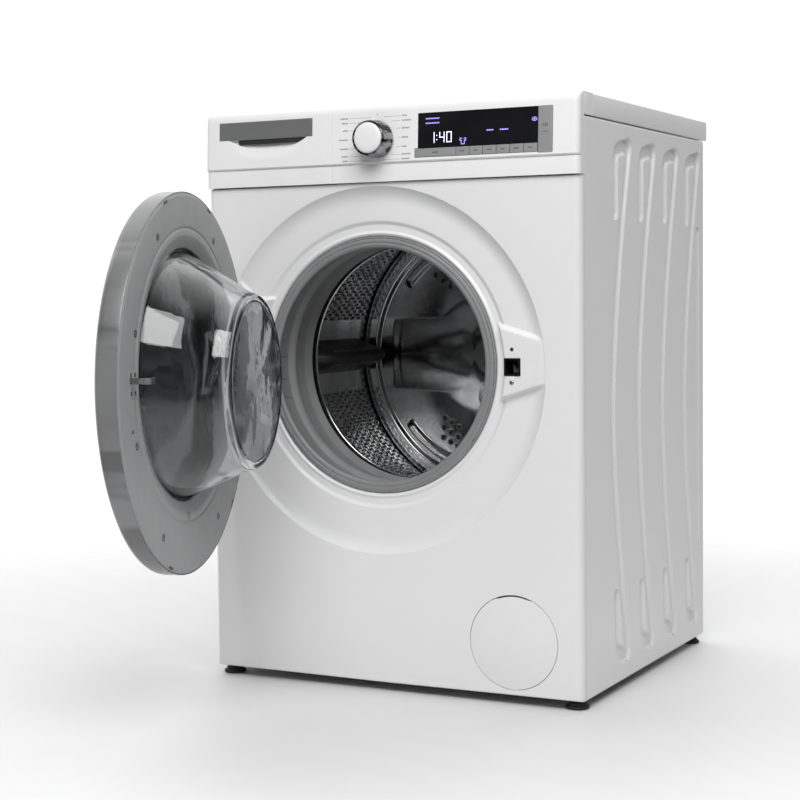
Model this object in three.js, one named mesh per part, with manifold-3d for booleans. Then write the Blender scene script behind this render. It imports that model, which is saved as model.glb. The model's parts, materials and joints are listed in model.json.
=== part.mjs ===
// Front load washing machine: a sheet-steel cabinet with a plastic control fascia, a
// detergent drawer, a round door that stands open, and a belt-driven drum in a fixed tub.
// Millimetres, +Z up. While the pieces are built, x = 0 is the middle of the cabinet, y = 0
// the flat of the front panel (+Y runs to the back) and z = 0 the floor. At the end the whole
// group is moved so that its origin is the middle of its footprint.

import * as THREE from 'three';
import { mergeVertices } from 'three/addons/utils/BufferGeometryUtils.js';
import Module from 'manifold-3d';

const wasm = await Module();
wasm.setup();

// ---------------------------------------------------------------- driving dimensions

const width = 600;
const height = 850;
const cabinetDepth = 541;          // front panel to the back edge of the side panels
const worktopBack = 559;           // the worktop overhangs the back
const cabinetBottom = 13;          // the feet hold the cabinet off the floor
const panelTop = 737.5;            // top edge of the pressed front panel
const worktopBottom = 819;
const worktopFront = 47;
const sideFront = 14.3;            // front edge of the side panels

const sheet = 1;                   // steel sheet
const moulding = 2.5;              // plastic walls
const gap = 0.3;                   // between neighbouring pieces
const halfWidth = width / 2;
const cornerRadius = 11;           // upright front corners

const axisX = -18.5;               // the drum axis runs along Y, left of the middle
const axisZ = 475;
const roundSteps = 32;             // steps round the large outside circles
const innerSteps = 24;             // steps round the tub, the drum and what turns with it
const smallSteps = 16;             // steps round pins, caps and feet

// front panel
const recessRadius = 266;
const recessZ = 467;               // the recess sits a little lower than the opening
const openingRadius = 186;
const lockX = 197;
const lockZ = 475;
const socketSize = 24;
const flapX = 196;
const flapZ = 88.5;
const flapRadius = 66.4;

// drum and tub
const drumRadius = 238;
const drumFront = 134;
const drumBack = 409;
const drumLip = 174;
const tubRadius = 254;
const tubFront = 98;
const tubSeam = 270;
const tubBack = 446;
const shaftRadius = 12.5;
const bearingRadius = 31;
const pulleyFront = 498;
const pulleyWidth = 16;
const drumPulleyRadius = 140;
const motorPulleyRadius = 14;
const motorX = 50;
const motorZ = 150;

// door, built closed and then swung open about its hinge pin
const doorZ = 460;
const doorRadius = 259;
const doorThickness = 33;
const doorFace = -7;               // y of the flat face that closes towards the panel
const hingeX = axisX - 232.5;
const hingeY = -30;
const doorOpenAngle = 75.5;        // degrees, as the door stands at rest
const bowlRise = 12;               // the bowl's rim is centred above the ring's centre
const bowlDepth = 97;
const bowlEndRadius = 118;

// fascia and controls
const fasciaBottom = 738;
const fasciaSplit = -83;           // drawer front to the left, control panel to the right
const stripTop = 764;
const dialX = -7;
const dialZ = 798;

// ---------------------------------------------------------------- materials

const finish = (color, roughness, metalness = 0) => ({ color, roughness, metalness });
const white = finish(0xe9eaec, 0.35);
const whitePlastic = finish(0xf0f0f1, 0.4);
const greyPlastic = finish(0x8d8f92, 0.5);
const darkPlastic = finish(0x2a2b2d, 0.5);
const blackGloss = finish(0x0a0a0c, 0.1);
const silver = finish(0xa9abae, 0.35, 0.3);
const chrome = finish(0xd8dadd, 0.08, 1);
const stainless = finish(0xb9bcc0, 0.25, 1);
const galvanised = finish(0x9a9da1, 0.5, 0.8);
const rubber = finish(0x77797c, 0.7);
const blackRubber = finish(0x17181a, 0.8);
const tubPlastic = finish(0xc9cbc8, 0.6);
const concrete = finish(0x9b9892, 0.95);
const castAluminium = finish(0xa6a8aa, 0.5, 0.9);
const bearingSteel = finish(0xc4c6c9, 0.2, 1);
const smokedGlass = finish(0x1c1d20, 0.08);
const clearGlass = finish(0xdfe6ea, 0.03);
const boardGreen = finish(0x2c6b3c, 0.6);

// ---------------------------------------------------------------- solids

function toSolid(geometry) {
  const bare = geometry.clone();
  bare.deleteAttribute('normal');
  bare.deleteAttribute('uv');
  const merged = mergeVertices(bare, 1e-4);
  const index = merged.index.array;
  const triangles = [];
  for (let i = 0; i < index.length; i += 3) {
    const [a, b, c] = [index[i], index[i + 1], index[i + 2]];
    if (a !== b && b !== c && c !== a) triangles.push(a, b, c);
  }
  return new wasm.Manifold(new wasm.Mesh({
    numProp: 3,
    vertProperties: new Float32Array(merged.attributes.position.array),
    triVerts: new Uint32Array(triangles),
  }));
}

function toGeometry(solid) {
  const mesh = solid.getMesh();
  const geometry = new THREE.BufferGeometry();
  geometry.setAttribute('position', new THREE.BufferAttribute(mesh.vertProperties, 3));
  geometry.setIndex(new THREE.BufferAttribute(mesh.triVerts, 1));
  geometry.computeVertexNormals();
  return geometry;
}

const join = (first, ...others) => others.reduce((sum, next) => sum.add(next), first);
const cut = (first, ...others) => others.reduce((rest, next) => rest.subtract(next), first);

function box([x0, x1], [y0, y1], [z0, z1]) {
  const geometry = new THREE.BoxGeometry(x1 - x0, y1 - y0, z1 - z0);
  geometry.translate((x0 + x1) / 2, (y0 + y1) / 2, (z0 + z1) / 2);
  return toSolid(geometry);
}

function extruded(points, length, basis, origin) {
  const shape = new THREE.Shape(points.map(([a, b]) => new THREE.Vector2(a, b)));
  const geometry = new THREE.ExtrudeGeometry(shape, { depth: length, bevelEnabled: false });
  geometry.applyMatrix4(new THREE.Matrix4().makeBasis(...basis));
  geometry.translate(...origin);
  return toSolid(geometry);
}

const unitX = new THREE.Vector3(1, 0, 0);
const unitY = new THREE.Vector3(0, 1, 0);
const unitZ = new THREE.Vector3(0, 0, 1);
const backY = new THREE.Vector3(0, -1, 0);

// outlines: alongX takes (y, z) points, alongY takes (x, z) points, alongZ takes (x, y) points
const alongX = (points, [x0, x1]) => extruded(points, x1 - x0, [unitY, unitZ, unitX], [x0, 0, 0]);
const alongY = (points, [y0, y1]) => extruded(points, y1 - y0, [unitX, unitZ, backY], [0, y1, 0]);
const alongZ = (points, [z0, z1]) => extruded(points, z1 - z0, [unitX, unitY, unitZ], [0, 0, z0]);

function turned(profile, x, z, steps = roundSteps) {
  const points = profile.map(([radius, y]) => new THREE.Vector2(radius, y));
  const geometry = new THREE.LatheGeometry(points, steps);
  geometry.translate(x, 0, z);
  const solid = toSolid(geometry);
  return solid.volume() > 0 ? solid : toSolid(flipped(geometry));
}

function flipped(geometry) {
  const turnedOver = geometry.clone();
  const index = turnedOver.index.array;
  for (let i = 0; i < index.length; i += 3) [index[i], index[i + 1]] = [index[i + 1], index[i]];
  return turnedOver;
}

// a closed profile: a line of points given a thickness to its left
function band(line, thickness) {
  const normals = line.map((point, i) => {
    const before = line[Math.max(i - 1, 0)];
    const after = line[Math.min(i + 1, line.length - 1)];
    const along = new THREE.Vector2(after[0] - before[0], after[1] - before[1]).normalize();
    return [-along.y, along.x];
  });
  const other = line.map(([a, b], i) => [a + thickness * normals[i][0], b + thickness * normals[i][1]]);
  return [...line, ...other.reverse()];
}

const ringBand = (line, thickness) => [...band(line, thickness), line[0]];

function disc(radius, [y0, y1], x, z, steps = roundSteps) {
  return turned([[0, y0], [radius, y0], [radius, y1], [0, y1]], x, z, steps);
}

function ring(inner, outer, [y0, y1], x, z, steps = roundSteps) {
  const profile = [[inner, y0], [outer, y0], [outer, y1], [inner, y1], [inner, y0]];
  return turned(profile, x, z, steps);
}

function roundBar(from, to, radius, steps = smallSteps) {
  const start = new THREE.Vector3(...from);
  const end = new THREE.Vector3(...to);
  const geometry = new THREE.CylinderGeometry(radius, radius, start.distanceTo(end), steps);
  const direction = end.clone().sub(start).normalize();
  geometry.applyQuaternion(new THREE.Quaternion().setFromUnitVectors(unitY, direction));
  geometry.translate(...start.add(end).multiplyScalar(0.5));
  return toSolid(geometry);
}

function pipe(curve, radius, sides, steps) {
  const section = arc(0, 0, radius, 0, 360, sides).slice(0, sides);
  const outline = new THREE.Shape(section.map(([a, b]) => new THREE.Vector2(a, b)));
  const geometry = new THREE.ExtrudeGeometry(outline, { steps, extrudePath: curve });
  const solid = toSolid(geometry);
  return solid.volume() > 0 ? solid : toSolid(flipped(geometry.toNonIndexed()));
}

// points round an arc, angles in degrees
function arc(x, y, radius, start, end, steps) {
  return Array.from({ length: steps + 1 }, (_, i) => {
    const angle = THREE.MathUtils.degToRad(start + ((end - start) * i) / steps);
    return [x + radius * Math.cos(angle), y + radius * Math.sin(angle)];
  });
}

// moves every point up by an amount that depends on its distance from the drum axis and on y
function raised(solid, x, z, rise) {
  return solid.warp((point) => {
    const distance = Math.hypot(point[0] - x, point[2] - z);
    point[2] += rise(distance, point[1]);
  });
}

const assembly = new THREE.Group();

function place(name, solid, { color, roughness, metalness }, parent = assembly) {
  const material = new THREE.MeshStandardMaterial({ color, roughness, metalness });
  const mesh = new THREE.Mesh(toGeometry(solid), material);
  mesh.name = name;
  parent.add(mesh);
}

// ---------------------------------------------------------------- cabinet

function sidePanel(side) {
  const flange = 18;
  const rearFlange = 20;
  const outer = halfWidth;
  const inner = halfWidth - sheet;
  const outline = [
    [outer, sideFront], [outer, cabinetDepth], [outer - rearFlange, cabinetDepth],
    [outer - rearFlange, cabinetDepth - sheet], [inner, cabinetDepth - sheet],
    [inner, sideFront + sheet], [outer - flange, sideFront + sheet], [outer - flange, sideFront],
  ];
  const mirrored = side > 0 ? outline : outline.map(([x, y]) => [-x, y]).reverse();
  return alongZ(mirrored, [cabinetBottom, worktopBottom - gap]);
}

place('side_panel_left', sidePanel(-1), white);
place('side_panel_right', sidePanel(1), white);

// The pressing in the front panel: the wide recess, its inner step, and the neck that is
// rolled back round the opening.
const recessLine = [
  [openingRadius + sheet, 28], [openingRadius + sheet, 21], [190.5, 18], [203.5, 16],
  [209.5, 11.5], [247.5, 10], [recessRadius + 1, sheet], [recessRadius + 3, sheet],
  [recessRadius + 3, 0], [recessRadius, 0], [247, 9], [209, 10.5], [203, 15], [190, 17],
  [openingRadius, 20], [openingRadius, 28], [openingRadius + sheet, 28],
];

function recessRise(distance) {
  const share = (recessRadius - distance) / (recessRadius - 205);
  return (axisZ - recessZ) * THREE.MathUtils.clamp(share, 0, 1);
}

function frontPanel() {
  const inside = halfWidth - sheet;
  const cornerX = halfWidth - cornerRadius;
  const outline = [
    [-halfWidth, sideFront - gap], ...arc(-cornerX, cornerRadius, cornerRadius, 180, 270, 4),
    ...arc(cornerX, cornerRadius, cornerRadius, 270, 360, 4), [halfWidth, sideFront - gap],
    [inside, sideFront - gap], ...arc(cornerX, cornerRadius, cornerRadius - sheet, 360, 270, 4),
    ...arc(-cornerX, cornerRadius, cornerRadius - sheet, 270, 180, 4), [-inside, sideFront - gap],
  ];
  const flat = alongZ(outline, [cabinetBottom, panelTop]);
  const lips = [[cabinetBottom, cabinetBottom + sheet], [panelTop - sheet, panelTop]].map(
    (level) => box([-cornerX, cornerX], [sheet / 2, sideFront - gap], level));
  const hole = disc(recessRadius, [-5, 5], axisX, recessZ);
  const pressing = raised(turned(recessLine, axisX, recessZ), axisX, recessZ, recessRise);

  // flat islands in the recess: the lock pad (right) and the lower hinge pad (left)
  const padRadius = 200;
  const padOutline = [[165, 432], [252, 449], [252, 515], [165, 531]];
  const padInside = [[165, 433.2], [251, 450], [251, 514], [165, 529.8]];
  const inPad = (radius) => disc(radius, [-5, 45], axisX, axisZ);
  const lock = cut(alongY(padOutline, [0, 17]), inPad(padRadius));
  const lockInside = cut(alongY(padInside, [sheet, 40]), inPad(padRadius + sheet));
  const hingePadY = 5;
  const padReach = disc(recessRadius - 2, [hingePadY, 11.5], axisX, recessZ);
  const hinge = box([-290, -206], [hingePadY, 11.5], [375, 575]).intersect(padReach);
  const insideReach = disc(recessRadius - 3, [hingePadY + sheet, 40], axisX, recessZ);
  const hingeInside = box([-290, -207], [hingePadY + sheet, 40], [376, 574]).intersect(insideReach);

  const half = socketSize / 2;
  const socket = box([lockX - half, lockX + half], [-5, 20], [lockZ - half, lockZ + half]);
  const flapHole = disc(flapRadius + 0.6, [-5, 5], flapX, flapZ);
  const body = join(cut(join(flat, ...lips), hole), pressing, lock, hinge);
  return cut(body, lockInside, hingeInside, socket, flapHole);
}

place('front_panel', frontPanel(), white);

function worktop() {
  const rim = 12;
  const board = 15;
  const radius = 4;
  const outline = [
    [worktopFront + gap, worktopBottom], [worktopBack, worktopBottom],
    ...arc(worktopBack - radius, height - radius, radius, 0, 90, 3), [worktopFront + gap, height],
  ];
  const slab = alongX(outline, [-halfWidth, halfWidth]);
  const under = box([rim - halfWidth, halfWidth - rim], [worktopFront + rim, cabinetDepth - rim],
    [worktopBottom - 1, height - board]);
  return cut(slab, under);
}

place('top_cover', worktop(), whitePlastic);

const footInset = 18;
const footY = [25, 519];

function baseTray() {
  const wall = 1.5;
  const lip = 26;
  const x = halfWidth - sheet - gap;
  const y = [sideFront + sheet + gap, cabinetDepth - sheet - gap];
  const tray = box([-x, x], y, [cabinetBottom, cabinetBottom + lip]);
  const inside = box([wall - x, x - wall], [y[0] + wall, y[1] - wall], [cabinetBottom + wall, 90]);
  const holes = footY.flatMap((footAt) => [-1, 1].map((side) => {
    const footX = side * (halfWidth - footInset);
    return roundBar([footX, footAt, 0], [footX, footAt, 30], 5.4, smallSteps);
  }));
  return cut(tray, inside, ...holes);
}

place('base_tray', baseTray(), galvanised);

function crossRail() {
  const x = halfWidth - sheet - gap;
  const outline = [[55, 803], [85, 803], [85, 817], [83.8, 817], [83.8, 804.2], [56.2, 804.2],
    [56.2, 817], [55, 817]];
  return alongX(outline, [-x, x]);
}

place('cross_rail', crossRail(), galvanised);

const valveX = -230;
const valveZ = 765;

function backPanel() {
  const plate = box([-290, 290], [cabinetDepth + gap, cabinetDepth + gap + sheet], [20, 812]);
  const valveHole = disc(15, [530, 550], valveX, valveZ, smallSteps);
  const pressedRing = ring(150, 158, [cabinetDepth + gap + sheet / 2, 545], axisX, axisZ);
  return cut(join(plate, pressedRing), valveHole);
}

place('back_panel', backPanel(), galvanised);

function foot(x, y) {
  const profile = [[0, 0], [15, 0], [17, 3], [17, 8], [12, 9], [12, 12.4], [5, 12.4], [5, 44], [0, 44]];
  const solid = turned(profile, 0, 0, 12);
  return solid.rotate([90, 0, 0]).translate([x, y, 0]);
}

footY.forEach((y, row) => [-1, 1].forEach((side) => {
  const name = `foot_${row === 0 ? 'front' : 'rear'}_${side < 0 ? 'left' : 'right'}`;
  place(name, foot(side * (halfWidth - footInset), y), blackRubber);
}));

// ---------------------------------------------------------------- fascia and controls

// The fascia face leans: its foot stands further forward than its top.
const fasciaLean = 4 / 78;
const fasciaY = (z) => -8 + (z - stripTop) * fasciaLean;

const fasciaOutline = [
  [-5, fasciaBottom], [sideFront - gap, fasciaBottom], [sideFront - gap, worktopBottom],
  [worktopFront, worktopBottom], [worktopFront, height], [8, height],
  ...arc(8, 838, 12, 90, 165, 3), [fasciaY(stripTop), stripTop + 2], [-5, stripTop - 2],
];
const fasciaHollow = [
  [-2.5, fasciaBottom + moulding], [70, fasciaBottom + moulding], [70, height - moulding],
  [8, height - moulding], ...arc(8, 838, 9.5, 90, 165, 3), [-5.4, stripTop + 3], [-2.5, stripTop],
];

const fasciaLeft = [-halfWidth, fasciaSplit - gap];
const fasciaRight = [fasciaSplit, halfWidth];

function fasciaShell([x0, x1]) {
  const hollow = alongX(fasciaHollow, [x0 + moulding, x1 - moulding]);
  return cut(alongX(fasciaOutline, [x0, x1]), hollow);
}

const keyBottom = 769.5;
const keyTop = 781.5;
const displayX = [58, 240.4];
const displayZ = [782, 831];
const startX = [241, 262];
const startZ = [768, 831];
const wideKeyX = [53, 117];
const keyPitch = 20.5;

function controlFascia() {
  const y = [-15, 5];
  const windows = [
    box([displayX[0] - gap, displayX[1] + gap], y, [displayZ[0] - gap, displayZ[1] + gap]),
    box([wideKeyX[0] - gap, displayX[1] + gap], y, [keyBottom - gap, displayZ[0]]),
    box([startX[0] - gap, startX[1] + gap], y, [startZ[0] - gap, startZ[1] + gap]),
    disc(4.6, y, dialX, dialZ, smallSteps),
  ];
  return cut(fasciaShell(fasciaRight), ...windows);
}

place('control_fascia', controlFascia(), whitePlastic);

// a plate that follows the lean of the fascia, standing proud of it
function leaningPlate(x, [z0, z1], proud, thickness) {
  const outline = [
    [fasciaY(z0) - proud, z0], [fasciaY(z0) - proud + thickness, z0],
    [fasciaY(z1) - proud + thickness, z1], [fasciaY(z1) - proud, z1],
  ];
  return alongX(outline, x);
}

place('display_window', leaningPlate(displayX, displayZ, 0.4, 5), blackGloss);
place('start_key', leaningPlate(startX, startZ, 0.6, 9), silver);
place('delay_key', leaningPlate([wideKeyX[0], wideKeyX[1]], [keyBottom, keyTop], 0.8, 9), silver);
for (let i = 0; i < 6; i += 1) {
  const left = wideKeyX[1] + 0.6 + i * keyPitch;
  const key = leaningPlate([left, left + keyPitch - 0.8], [keyBottom, keyTop], 0.8, 9);
  place(`option_key_${i + 1}`, key, silver);
}

function controlBoard() {
  const board = box([45, 265], [7, 9], [766, 836]);
  const parts = [
    box([60, 110], [8.5, 30], [790, 830]), box([120, 140], [8.5, 22], [800, 826]),
    box([150, 250], [8.5, 18], [812, 830]), box([180, 240], [8.5, 26], [772, 800]),
  ];
  return join(board, ...parts);
}

place('control_board', controlBoard(), boardGreen);

function dialRing() {
  const line = [[27, -8.2], [27, -12], [24.6, -34], [21.5, -34], [24, -12], [24, -8.2], [27, -8.2]];
  return turned(line, dialX, dialZ, 20);
}

function dialKnob() {
  const profile = [[0, -38.5], [17, -38], [23, -36], [24.2, -34.3], [21.2, -34.3], [18, -33],
    [18, -30], [4.2, -30], [4.2, 6], [0, 6]];
  return turned(profile, dialX, dialZ, 20);
}

place('dial_ring', dialRing(), chrome);
place('dial_knob', dialKnob(), whitePlastic);

// ---------------------------------------------------------------- detergent drawer

const gripX = [-241, -129];
const gripZ = [792, 805];          // the finger slot in the drawer front
const gripDepth = 9;
const trayX = [-279, -96];
const trayY = [14.6, 300];
const trayZ = [752, 794];

function drawerFront() {
  const hollow = alongX(fasciaHollow, [fasciaLeft[0] + moulding, fasciaLeft[1] - moulding]);
  const pocketX = [gripX[0] - moulding, gripX[1] + moulding];
  const pocketZ = [gripZ[0] - 6, gripZ[1] + 3];
  const grip = box(pocketX, [-12, gripDepth + 3], pocketZ);
  const shell = cut(alongX(fasciaOutline, fasciaLeft), cut(hollow, grip));
  const [low, high] = gripZ;
  const fingers = alongX([[-20, low - 6], [gripDepth, low], [gripDepth, high], [-20, high]], gripX);
  return cut(shell, fingers);
}

function drawerTray() {
  const wall = 2;
  const tray = box(trayX, trayY, trayZ);
  const inner = [trayX[0] + wall, trayX[1] - wall];
  const share = (inner[1] - inner[0] - 2 * wall) / 3;
  const cells = [0, 1, 2].map((i) => {
    const left = inner[0] + i * (share + wall);
    return box([left, left + share], [trayY[0] + wall, trayY[1] - wall], [trayZ[0] + wall, 830]);
  });
  return cut(tray, ...cells);
}

function drawerHousing() {
  const clear = 1.5;
  const wall = 2;
  const inner = [
    [trayX[0] - clear, trayX[1] + clear], [0, trayY[1] + 8], [trayZ[0] - clear, trayZ[1] + 3],
  ];
  const outer = [[inner[0][0] - wall, inner[0][1] + wall], [20, inner[1][1] + wall],
    [inner[2][0] - wall, inner[2][1] + wall]];
  return cut(box(...outer), box(...inner));
}

place('drawer_front', drawerFront(), whitePlastic);
place('drawer_tray', drawerTray(), whitePlastic);
place('drawer_housing', drawerHousing(), tubPlastic);

function inletValve() {
  const body = box([valveX - 20, valveX + 20], [470, 520], [valveZ - 22, valveZ + 22]);
  const coil = roundBar([valveX, 490, valveZ - 20], [valveX, 490, valveZ - 50], 14, smallSteps);
  const spout = ring(9, 13, [519, 556], valveX, valveZ, smallSteps);
  return join(body, coil, spout);
}

place('inlet_valve', inletValve(), darkPlastic);

// ---------------------------------------------------------------- gasket, tub and its load

// The rubber gasket: a lip inside the opening, one bellows fold, a cuff in the tub's neck
const gasketLine = [
  [185.4, 27], [185.4, 13], [171, 13], [173.5, 20], [181, 26], [181, 56], [174.5, 63],
  [174.5, 70], [183.5, 80], [183.5, 108], [177, 122],
];

place('door_gasket', turned(ringBand(gasketLine, -2.6), axisX, axisZ), rubber);

const heaterRadius = 246;
const heaterSpread = 12;
const heaterTube = 3.5;

function aroundAxis(radius, degrees) {
  const angle = THREE.MathUtils.degToRad(degrees);
  return [axisX + radius * Math.cos(angle), axisZ + radius * Math.sin(angle)];
}

function tubFrontShell() {
  const wall = 3.5;
  const outer = tubRadius + wall;
  const profile = [
    [188.5, 88], [191.5, 88], [191.5, tubFront], [247, tubFront], [outer, tubFront + 10],
    [outer, tubSeam - 6], [264, tubSeam - 6], [264, tubSeam], [tubRadius, tubSeam],
    [tubRadius, tubFront + 11.5], [245.5, tubFront + wall], [188.5, tubFront + wall], [188.5, 88],
  ];
  const holes = [-1, 1].map((side) => {
    const [x, z] = aroundAxis(heaterRadius, -90 + side * heaterSpread);
    return disc(heaterTube + 0.6, [80, 120], x, z, 12);
  });
  return cut(turned(profile, axisX, axisZ, innerSteps), ...holes);
}

function tubRearShell() {
  const wall = 3.5;
  const outer = tubRadius + wall;
  const bore = bearingRadius + 0.3;
  const profile = [
    [tubRadius, tubSeam + gap], [tubRadius, tubBack - 8], [246, tubBack], [bore, tubBack],
    [bore, 494], [42, 494], [46, tubBack + 6], [247, tubBack + wall], [outer, tubBack - 6],
    [outer, tubSeam + 6], [264, tubSeam + 6], [264, tubSeam + gap], [tubRadius, tubSeam + gap],
  ];
  const ribs = Array.from({ length: 10 }, (_, i) => {
    const rib = box([40, 240], [tubBack + 2, tubBack + 12], [-1.5, 1.5]);
    return rib.rotate([0, 36 * i + 18, 0]).translate([axisX, 0, axisZ]);
  });
  return join(turned(profile, axisX, axisZ, innerSteps), ...ribs);
}

place('tub_front', tubFrontShell(), tubPlastic);
place('tub_rear', tubRearShell(), tubPlastic);

// a U of tube under the drum; its legs come out through the front wall of the tub
function heater() {
  const [bendStart, bendReach] = [330, 40];
  const ends = [-1, 1].map((side) => aroundAxis(heaterRadius, -90 + side * heaterSpread));
  const legs = ends.map(([x, z]) => roundBar([x, 93, z], [x, bendStart, z], heaterTube, 8));
  const bend = arc(0, 0, 1, 180, 0, 10).map(([across, along]) => {
    const [x, z] = aroundAxis(heaterRadius, -90 + across * heaterSpread);
    return new THREE.Vector3(x, bendStart - 0.5 + bendReach * along, z);
  });
  const tube = pipe(new THREE.CatmullRomCurve3(bend), heaterTube, 8, 14);
  const plateBottom = axisZ - heaterRadius - 8;
  const plate = box([axisX - 66, axisX + 66], [90, 96], [plateBottom, plateBottom + 26]);
  return join(plate, ...legs, tube);
}

function counterweight() {
  const block = alongY([[-85, 690], [-60, 796], [150, 796], [175, 690]], [130, 400]);
  const seat = disc(267, [100, 450], axisX, axisZ, innerSteps);
  return cut(block, seat);
}

place('counterweight', counterweight(), concrete);

// ---------------------------------------------------------------- drum, belt drive

function drumShell() {
  const line = [[drumLip + 2, 139], [drumLip, 135.5], [178, drumFront], [214, 145], [231, 154],
    [drumRadius, 168], [drumRadius, drumBack]];
  return turned(ringBand(line, -sheet), axisX, axisZ, innerSteps);
}

function drumBackPlate() {
  const profile = [
    [0, 402], [46, 402], [60, 408], [206, 408], [217, 401], [228, 402], [236.5, 407],
    [236.5, 408.5], [227, 403.5], [218, 402.5], [206.5, 409.2], [59.5, 409.2], [45.5, 403.2],
    [0, 403.2],
  ];
  return turned(profile, axisX, axisZ, innerSteps);
}

function lifter(degrees) {
  const footHalf = 27;
  const foot = drumRadius - 5;
  const tip = drumRadius - 60;
  const outline = [
    [foot, -footHalf], [206, -17], [tip + 7, -9], [tip, 0], [tip + 7, 9], [206, 17],
    [foot, footHalf],
  ];
  const bar = alongY(outline, [drumFront + 42, drumBack - 10]);
  return bar.rotate([0, -degrees, 0]).translate([axisX, 0, axisZ]);
}

place('drum_shell', drumShell(), stainless);
place('drum_back', drumBackPlate(), stainless);
[180, 300, 60].forEach((degrees, i) => place(`lifter_${i + 1}`, lifter(degrees), greyPlastic));

function spider() {
  const hub = disc(34, [409.5 + gap, 440], axisX, axisZ, smallSteps);
  const arms = [90, 210, 330].map((degrees) => {
    const arm = alongY([[20, -22], [228, -12], [228, 12], [20, 22]], [410.5, 428]);
    return arm.rotate([0, -degrees, 0]).translate([axisX, 0, axisZ]);
  });
  const shaft = disc(shaftRadius, [436, 522], axisX, axisZ, smallSteps);
  return join(hub, ...arms, shaft);
}

function bearing(y) {
  return ring(shaftRadius + gap, bearingRadius, y, axisX, axisZ, smallSteps);
}

function drumPulley() {
  const [y0, y1] = [pulleyFront, pulleyFront + pulleyWidth];
  const rim = drumPulleyRadius - 8;
  const profile = [
    [shaftRadius + gap, y0], [26, y0], [26, y0 + 5], [rim, y0 + 5], [rim, y0],
    [drumPulleyRadius, y0], [drumPulleyRadius, y1], [rim, y1], [rim, y1 - 5], [26, y1 - 5],
    [26, y1], [shaftRadius + gap, y1], [shaftRadius + gap, y0],
  ];
  const windows = Array.from({ length: 5 }, (_, i) => {
    const outline = [...arc(0, 0, 120, -24, 24, 4), ...arc(0, 0, 40, 14, -14, 2)];
    return alongY(outline, [490, 530]).rotate([0, 72 * i, 0]).translate([axisX, 0, axisZ]);
  });
  return cut(turned(profile, axisX, axisZ, innerSteps), ...windows);
}

function motorPulley() {
  const y = [pulleyFront, pulleyFront + pulleyWidth];
  const pulley = disc(motorPulleyRadius, y, motorX, motorZ, smallSteps);
  return join(pulley, disc(6, [455, 520], motorX, motorZ, smallSteps));
}

// the belt's outline at a distance outside both pulleys
function beltOutline(clear) {
  const [dx, dz] = [motorX - axisX, motorZ - axisZ];
  const span = Math.hypot(dx, dz);
  const direction = THREE.MathUtils.radToDeg(Math.atan2(dz, dx));
  const lean = THREE.MathUtils.radToDeg(Math.acos((drumPulleyRadius - motorPulleyRadius) / span));
  return [
    ...arc(axisX, axisZ, drumPulleyRadius + clear, direction + lean, direction + 360 - lean, 26),
    ...arc(motorX, motorZ, motorPulleyRadius + clear, direction - lean, direction + lean, 8),
  ];
}

function driveBelt() {
  const y = [pulleyFront + 2, pulleyFront + pulleyWidth - 2];
  return cut(alongY(beltOutline(3.5), y), alongY(beltOutline(0.6), [y[0] - 5, y[1] + 5]));
}

function motor() {
  const body = disc(62, [345, 470], motorX, motorZ, 20);
  const cap = disc(40, [334, 348], motorX, motorZ, 20);
  const lugs = [[352, 372], [440, 460]].map((y) => box([motorX - 48, motorX + 48], y, [190, 245]));
  const tub = disc(265, [300, 500], axisX, axisZ);
  const bore = disc(6.4, [450, 480], motorX, motorZ, smallSteps);
  return cut(join(body, cap, ...lugs), tub, bore);
}

place('heater', heater(), bearingSteel);
place('drum_spider', spider(), castAluminium);
place('bearing_front', bearing([447, 461]), bearingSteel);
place('bearing_rear', bearing([479, 493]), bearingSteel);
place('drum_pulley', drumPulley(), castAluminium);
place('motor_pulley', motorPulley(), bearingSteel);
place('drive_belt', driveBelt(), blackRubber);
place('motor', motor(), darkPlastic);

// ---------------------------------------------------------------- suspension

function suspensionSpring(side) {
  const springY = 350;
  const top = new THREE.Vector3(side > 0 ? 284 : -284, springY, 784);
  const [x, z] = aroundAxis(272, side > 0 ? 40 : 140);
  const bottom = new THREE.Vector3(x, springY, z);
  const axis = bottom.clone().sub(top);
  const turns = 7;
  const coil = 11;
  const sideways = axis.clone().cross(unitY).normalize();
  const points = [];
  const steps = turns * 9;
  for (let i = 0; i <= steps; i += 1) {
    const share = i / steps;
    const angle = 2 * Math.PI * turns * share;
    const reach = coil * Math.min(1, 8 * share, 8 * (1 - share));
    const point = top.clone().addScaledVector(axis, 0.1 + 0.8 * share);
    point.addScaledVector(sideways, reach * Math.cos(angle));
    point.addScaledVector(unitY, reach * Math.sin(angle));
    points.push(point);
  }
  const path = new THREE.CatmullRomCurve3([top, ...points, bottom]);
  return pipe(path, 1.8, 4, steps + 8);
}

function damper(side) {
  const y = 300;
  const [x, z] = aroundAxis(276, side > 0 ? -50 : -130);
  const top = [x, y, z];
  const foot = [side * 232, y, 34];
  const middle = top.map((value, i) => value + 0.45 * (foot[i] - value));
  const eyes = [top, foot].map(([ex, , ez]) => roundBar([ex, y - 12, ez], [ex, y + 12, ez], 9, 16));
  return join(roundBar(top, middle, 5, 12), roundBar(middle, foot, 14, 16), ...eyes);
}

[[-1, 'left'], [1, 'right']].forEach(([side, word]) => {
  place(`suspension_spring_${word}`, suspensionSpring(side), bearingSteel);
  place(`damper_${word}`, damper(side), darkPlastic);
});

// ---------------------------------------------------------------- drain pump and service flap

function drainPump() {
  const tube = ring(30, 34, [26, 112], flapX, flapZ, smallSteps);
  const end = disc(34, [110, 116], flapX, flapZ, smallSteps);
  const coil = disc(26, [115, 170], flapX, flapZ, smallSteps);
  const spout = roundBar([flapX, 90, flapZ + 32], [flapX, 90, flapZ + 60], 12, 16);
  return join(tube, end, coil, spout);
}

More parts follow.
